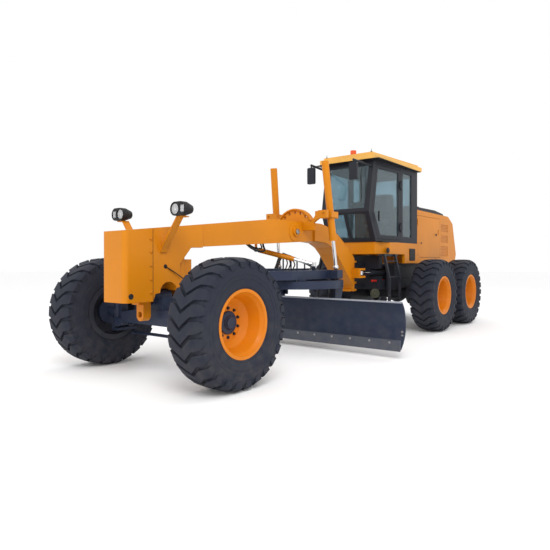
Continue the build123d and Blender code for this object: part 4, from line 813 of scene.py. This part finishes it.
# %% Head lamps
LAMP_RING = [(-0.004, 0.074), (0.008, 0.074), (0.012, 0.068), (0.010, 0.062), (0.002, 0.060),
             (0.002, TIP_RADIUS)]
LENS = dome(0.0585, 0.008)
BULB = dome(0.020, 0.004, sunk=0.002)
lamps = [at(side * 0.492, -0.195, 1.865) for side in SIDES]
add_spun("lamp_rings", [(place, AHEAD, LAMP_RING) for place in lamps], plastic, "front")
add_spun("lamp_lenses", [(place, AHEAD, LENS) for place in lamps], lens_glass, "front")
add_spun("lamp_bulbs", [(place, AHEAD, BULB) for place in lamps], chrome, "front")
side_lenses = [block_on_side(side, (0.580, 0.640), (-0.2005, -0.192), (1.828, 1.902)) for side in SIDES]
add_plates("side_lenses", side_lenses, 0.003, lens_glass, "front")
print("lamps dressed", len(lamps))

# %% [markdown]
# The blade's lower edge is a replaceable steel strip held by a row of bolts, two more hold
# each end, and its top is stiffened by a narrow bar. The bar's light grey is a painted highlight
# where the top catches the light.

# %% Blade bolts and top bar
EDGE_FRONT = 2.4815
EDGE_BOLT_Z = 0.216
EDGE_BOLTS = 12
END_BOLT_Y = 2.624
END_BOLT_HEIGHTS = (0.300, 0.350)
BLADE_HALF = 1.83
BAR_LOW = at(-BLADE_HALF + 0.002, 2.531, 0.742)
BAR_HIGH = at(BLADE_HALF - 0.002, 2.570, 0.766)
blade_bolts = []
for index in range(EDGE_BOLTS):
    x = BLADE_HALF * (2.0 * (index + 0.5) / EDGE_BOLTS - 1.0)
    blade_bolts.append((at(x, EDGE_FRONT, EDGE_BOLT_Z), AHEAD))
for side in SIDES:
    for z in END_BOLT_HEIGHTS:
        blade_bolts.append((at(side * (BLADE_HALF - 0.035), END_BOLT_Y, z), AHEAD))
add_bolts("edge_bolts", blade_bolts, 0.013, 0.008, steel, "blade")
# The top bar's light grey is a painted highlight.
add_plates("blade_top_bar", [(BAR_LOW, BAR_HIGH)], 0.004, top_bar_highlight, "blade")
print("blade bolts", len(blade_bolts))

# %% [markdown]
# Through the glass one sees a high-backed seat. Its cushion and back are soft and crowned, so
# they are cut finely and drawn in towards their edges, with shallow sewn channels across.

# %% Seat
SEAT_Z = 2.008
CUSHION_CUTS = 11
EDGE_DRAW = 0.16
CHANNELS = 3.0
CHANNEL_SHARE = 0.3


def drawn_in(value, first, second):
    """One coordinate of a unit cushion, drawn in where the other two are near an edge."""
    return value * math.sqrt(max(0.0, 1.0 - EDGE_DRAW * (first ** 4 + second ** 4)))


def add_cushion(name, low, high, channel, body):
    """A soft block between two corners, with round edges and sewn channels."""
    work = bmesh.new()
    size = Vector(high) - Vector(low)
    middle = (Vector(high) + Vector(low)) / 2.0
    bmesh.ops.create_cube(work, size=1.0)
    bmesh.ops.subdivide_edges(work, edges=list(work.edges), cuts=CUSHION_CUTS, use_grid_fill=True)
    for vertex in work.verts:
        spot = vertex.co * 2.0
        x = drawn_in(spot.x, spot.y, spot.z)
        y = drawn_in(spot.y, spot.x, spot.z)
        z = drawn_in(spot.z, spot.x, spot.y)
        seam = 1.0 - channel * max(0.0, math.cos(spot.x * math.pi * CHANNELS)) * CHANNEL_SHARE
        vertex.co = Vector((x * size.x, y * size.y, z * size.z * seam)) / 2.0 + middle
    piece = place_piece(name, mesh_from(name, work), seat_cloth, body)
    return piece


add_cushion("seat_cushion", at(-0.25, 5.07, SEAT_Z), at(0.25, 5.57, SEAT_Z + 0.130), 0.12, "rear")
add_cushion("seat_back", at(-0.24, 5.50, SEAT_Z + 0.135), at(0.24, 5.635, 2.66), 0.05, "rear")
print("seat at", SEAT_Z)

# %% [markdown]
# The stand, arm rests, console and steering wheel are hard and share one piece. It takes the
# place of the frame's plain interior.

# %% Cab controls
FLOOR_Z = 1.708
ARM_REST_X = (0.262, 0.330)
ARM_POST_X = (0.276, 0.316)
WHEEL_PLACE = at(0.0, 4.78, FLOOR_Z + 0.70)
WHEEL_TILT = math.radians(30.0)
WHEEL_RADIUS = 0.182
WHEEL_GRIP = 0.013
WHEEL_STEPS = 36
GRIP_STEPS = 8
SPOKE_LENGTH = 0.18
SPOKE_ANGLES = (90.0, 210.0, 330.0)


def add_block(work, corners, edge):
    """A block with rounded edges, joined into a bmesh."""
    made = bmesh.ops.create_cube(work, size=1.0, matrix=block_matrix(*corners))
    edges = list(dict.fromkeys(line for vertex in made["verts"] for line in vertex.link_edges))
    bmesh.ops.bevel(work, geom=edges, offset=edge, segments=2, affect="EDGES")


def add_stand_and_console(work):
    """The seat's stand, the console and the arm rests on their posts."""
    add_block(work, (at(-0.15, 5.14, FLOOR_Z), at(0.15, 5.44, SEAT_Z - 0.004)), 0.02)
    add_block(work, (at(-0.085, 4.60, FLOOR_Z), at(0.085, 4.72, FLOOR_Z + 0.62)), 0.02)
    for side in SIDES:
        rest = block_on_side(side, ARM_REST_X, (5.02, 5.42), (SEAT_Z + 0.16, SEAT_Z + 0.20))
        add_block(work, rest, 0.015)
        post = block_on_side(side, ARM_POST_X, (5.32, 5.38), (SEAT_Z - 0.05, SEAT_Z + 0.165))
        add_block(work, post, 0.012)
    add_block(work, (at(-0.20, 4.66, FLOOR_Z + 0.585), at(0.20, 4.70, FLOOR_Z + 0.72)), 0.012)


def add_steering_wheel(work, place):
    """A round rim with three spokes and a hub."""
    rings = []
    for step in range(WHEEL_STEPS):
        around = 2.0 * math.pi * step / WHEEL_STEPS
        ring = []
        for turn in range(GRIP_STEPS):
            angle = 2.0 * math.pi * turn / GRIP_STEPS
            out = WHEEL_RADIUS + WHEEL_GRIP * math.cos(angle)
            spot = Vector((out * math.cos(around), out * math.sin(around), WHEEL_GRIP * math.sin(angle)))
            ring.append(work.verts.new(place @ spot))
        rings.append(ring)
    join_rings(work, rings, closed=True)
    outwards = Matrix.Translation((SPOKE_LENGTH / 2.0, 0.0, 0.0))
    spoke_size = Matrix.Diagonal((SPOKE_LENGTH, 0.022, 0.008, 1.0))
    for angle in SPOKE_ANGLES:
        turned = place @ Matrix.Rotation(math.radians(angle), 4, "Z")
        bmesh.ops.create_cube(work, size=1.0, matrix=turned @ outwards @ spoke_size)
    hub = place @ Matrix.Translation((0.0, 0.0, -0.03))
    bmesh.ops.create_cone(work, cap_ends=True, segments=20, radius1=0.035, radius2=0.030,
                          depth=0.10, matrix=hub)


work = bmesh.new()
add_stand_and_console(work)
add_steering_wheel(work, Matrix.Translation(WHEEL_PLACE) @ Matrix.Rotation(WHEEL_TILT, 4, "X"))
controls = place_piece("cab_controls", mesh_from("cab_controls", work), plastic, "rear", smooth=False)
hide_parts("cab_interior")
print("interior faces", len(controls.data.polygons))

# %% [markdown]
# Outside, the cab has a foot for its beacon, two thin aerials, a wiper, mirror glass and door
# handles. A dark strip runs under the roof's edge and another along the cab's foot.

# %% Cab fittings
ROOF_Z = 3.235
BEACON_FOOT = [(-0.004, 0.062), (0.014, 0.062), (0.018, 0.056), (0.018, TIP_RADIUS)]
AERIAL = [(-0.004, 0.016), (0.012, 0.016), (0.016, 0.004), (0.055, 0.003)]
HANDLE = ((0.545, 0.572), (4.335, 4.365), (2.02, 2.20))
MIRROR = ((0.372, 0.488), (3.722, 3.728), (2.700, 2.960))
ROOF_STRIP = (at(-0.655, 4.160, 3.101), at(0.655, 5.990, 3.1105))
SILL_STRIP = (at(-0.603, 4.40, 1.652), at(0.603, 5.925, 1.668))
WIPER_ARM = [at(0.30, 4.215, 3.02), at(0.31, 4.140, 2.80), at(0.34, 4.100, 2.56), at(0.36, 4.085, 2.40)]
WIPER_BLADE = [at(0.335, 4.118, 2.72), at(0.345, 4.098, 2.52), at(0.350, 4.075, 2.28)]
add_spun("beacon_base", [(at(0.0, 4.42, ROOF_Z), UP, BEACON_FOOT)], plastic, "rear")
add_plates("door_handle_left", [block_on_side(1, *HANDLE)], 0.006, plastic, "cab_door_l")
add_plates("door_handle_right", [block_on_side(-1, *HANDLE)], 0.006, plastic, "cab_door_r")
add_plates("mirror_faces", [block_on_side(side, *MIRROR) for side in SIDES], 0.002, mirror_glass, "rear")
aerials = [(at(x, 4.22, ROOF_Z), UP, AERIAL) for x in (-0.45, 0.48)]
add_spun("aerials", aerials, plastic, "rear", segments=16)
add_hose("wiper_arm", WIPER_ARM, 0.008, plastic, "rear")
add_hose("wiper_blade", WIPER_BLADE, 0.006, plastic, "rear")
add_plates("roof_underside", [ROOF_STRIP], 0.003, plastic, "rear")
add_plates("cab_sill", [SILL_STRIP], 0.004, plastic, "rear")
print("cab dressed")

# %% [markdown]
# On the left side of the cab's base sit a slatted grille and the fuel cap, and round latches
# hold the hood's doors.

# %% Base grille, fuel cap and latches
BASE_SIDE = 0.620
SLATS = 8
SLAT_LOW = 1.338
SLAT_STEP = 0.027
SLAT_HIGH = 0.012
FUEL_CAP = [(-0.004, 0.052), (0.006, 0.052), (0.008, 0.040), (0.018, 0.038), (0.022, 0.030),
            (0.022, TIP_RADIUS)]
LATCH = [(-0.004, 0.026), (0.006, 0.026), (0.008, TIP_RADIUS)]
SMALL_LATCH = [(-0.004, 0.018), (0.003, 0.018), (0.004, TIP_RADIUS)]
DOOR_SIDE = 0.5415
grille = (at(BASE_SIDE - 0.006, 5.520, 1.325), at(BASE_SIDE + 0.003, 5.790, 1.560))
add_plates("base_grille_frame", [grille], 0.004, plastic, "rear")
slats = []
for index in range(SLATS):
    low_z = SLAT_LOW + SLAT_STEP * index
    slats.append((at(BASE_SIDE, 5.535, low_z), at(BASE_SIDE + 0.007, 5.775, low_z + SLAT_HIGH)))
add_plates("base_grille_slats", slats, 0.002, dark, "rear")
add_spun("filler_cap", [(at(0.612, 4.60, 1.506), LEFT, FUEL_CAP)], dark, "rear")
left_latches = [(at(DOOR_SIDE, 7.12, 1.893), LEFT, LATCH),
                (at(DOOR_SIDE, 6.30, 1.690), LEFT, SMALL_LATCH)]
add_spun("hood_latch", left_latches, plastic, "hood_door_l")
add_spun("hood_latch_right", [(at(-DOOR_SIDE, 7.12, 1.893), RIGHT, LATCH)], plastic, "hood_door_r")
print("slats", len(slats))

# %% [markdown]
# Under the cab lies the red bar that locks the hinge when the machine is moved, and an olive
# filter looks out below it. At the back the lamps have red lenses.

# %% Locking bar, filter and tail lenses
LOCK_BAR = [at(0.36, 4.47, 0.955), at(0.36, 4.70, 0.950), at(0.36, 5.02, 0.945)]
FILTER = [(-0.01, 0.085), (0.030, 0.085), (0.040, 0.070), (0.042, 0.045), (0.052, 0.040),
          (0.052, TIP_RADIUS)]
FILTER_PLACE = at(0.40, 4.50, 0.730)
FILTER_WAY = (0.75, -0.66, 0.0)
TAIL_LENS = ((0.476, 0.594), (8.345, 8.354), (1.186, 1.250))
add_hose("locking_bar", LOCK_BAR, 0.020, lamp_red, "rear")
add_spun("axle_filter", [(FILTER_PLACE, FILTER_WAY, FILTER)], olive, "rear")
add_plates("tail_lenses", [block_on_side(side, *TAIL_LENS) for side in SIDES], 0.003, lamp_red, "rear")
print("tail dressed")

# %% [markdown]
# Black hydraulic hoses run over the guard on the drawbar, and three more drop from it to the
# circle's drive. All are fixed to the drawbar, so none of them has to stretch when the
# machine moves.

# %% Hoses on the drawbar
GUARD_X = -0.202
GUARD_TOPS = [(2.570, 1.435), (2.775, 1.386), (2.940, 1.338), (3.155, 1.280), (3.340, 1.230)]
GUARD_HOSES = 3
GUARD_HOSE_STEP = 0.026
DROP_PLACES = (2.60, 2.68, 2.80)
DROP_TOP = 1.40
DROP_SLOPE = 0.24


def guard_hose_line(index):
    """Points of one hose: up from the drawbar's front end, then along under the guard's top."""
    x = GUARD_X + 0.020 + GUARD_HOSE_STEP * index
    start = [at(0.02 * index - 0.02, 2.12, 1.180), at(0.02 * index - 0.04, 2.20, 1.26), at(x, 2.42, 1.36)]
    return start + [at(x, y, z - 0.012 - 0.004 * index) for y, z in GUARD_TOPS]


def drop_hose_line(y):
    """Points of one hose from the guard down to the circle's drive."""
    top = DROP_TOP - DROP_SLOPE * (y - DROP_PLACES[0])
    return [at(GUARD_X + 0.012, y, top), at(GUARD_X + 0.05, y + 0.02, top - 0.10),
            at(GUARD_X + 0.045, y + 0.01, 1.24), at(GUARD_X + 0.02, y - 0.03, 1.13)]


for index in range(GUARD_HOSES):
    add_hose("guard_hose_%d" % (index + 1), guard_hose_line(index), 0.011, hose_rubber, "drawbar")
for index, y in enumerate(DROP_PLACES):
    add_hose("drop_hose_%d" % (index + 1), drop_hose_line(y), 0.010, hose_rubber, "drawbar")
print("drawbar hoses", GUARD_HOSES + len(DROP_PLACES))

# %% [markdown]
# On the front frame a thin cable leaves the nose's side, and two hoses hang in a bow under the
# boom. A bolt closes the round boss on the boom's side.

# %% Hoses on the front frame
CABLE_HOLE = [(-0.003, 0.024), (0.003, 0.024), (0.004, 0.018), (0.001, 0.016), (0.001, TIP_RADIUS)]
CABLE_START = at(NOSE_HALF, -0.094, 1.248)
CABLE = [at(NOSE_HALF + 0.002, -0.094, 1.248), at(NOSE_HALF + 0.020, 0.02, 1.185), at(0.24, 0.18, 1.08)]
BOOM_HOSE_1 = [at(0.10, 1.30, 1.615), at(0.13, 1.34, 1.520), at(0.14, 1.55, 1.445), at(0.08, 1.80, 1.450),
               at(-0.10, 1.95, 1.540), at(-0.16, 2.02, 1.610)]
BOOM_HOSE_2 = [at(0.06, 1.34, 1.615), at(0.09, 1.40, 1.545), at(0.09, 1.58, 1.480), at(0.02, 1.80, 1.490),
               at(-0.12, 1.92, 1.560), at(-0.17, 1.98, 1.612)]
BOSS_BOLT = [(-0.004, 0.040), (0.010, 0.040), (0.016, 0.032), (0.018, TIP_RADIUS)]
add_spun("cable_hole", [(CABLE_START, LEFT, CABLE_HOLE)], plastic, "front")
add_hose("brake_cable", CABLE, 0.006, hose_rubber, "front")
add_hose("boom_hose_1", BOOM_HOSE_1, 0.014, hose_rubber, "front")
add_hose("boom_hose_2", BOOM_HOSE_2, 0.011, hose_rubber, "front")
add_spun("boss_bolt", [(at(0.200, 2.410, 1.756), LEFT, BOSS_BOLT)], steel, "front")
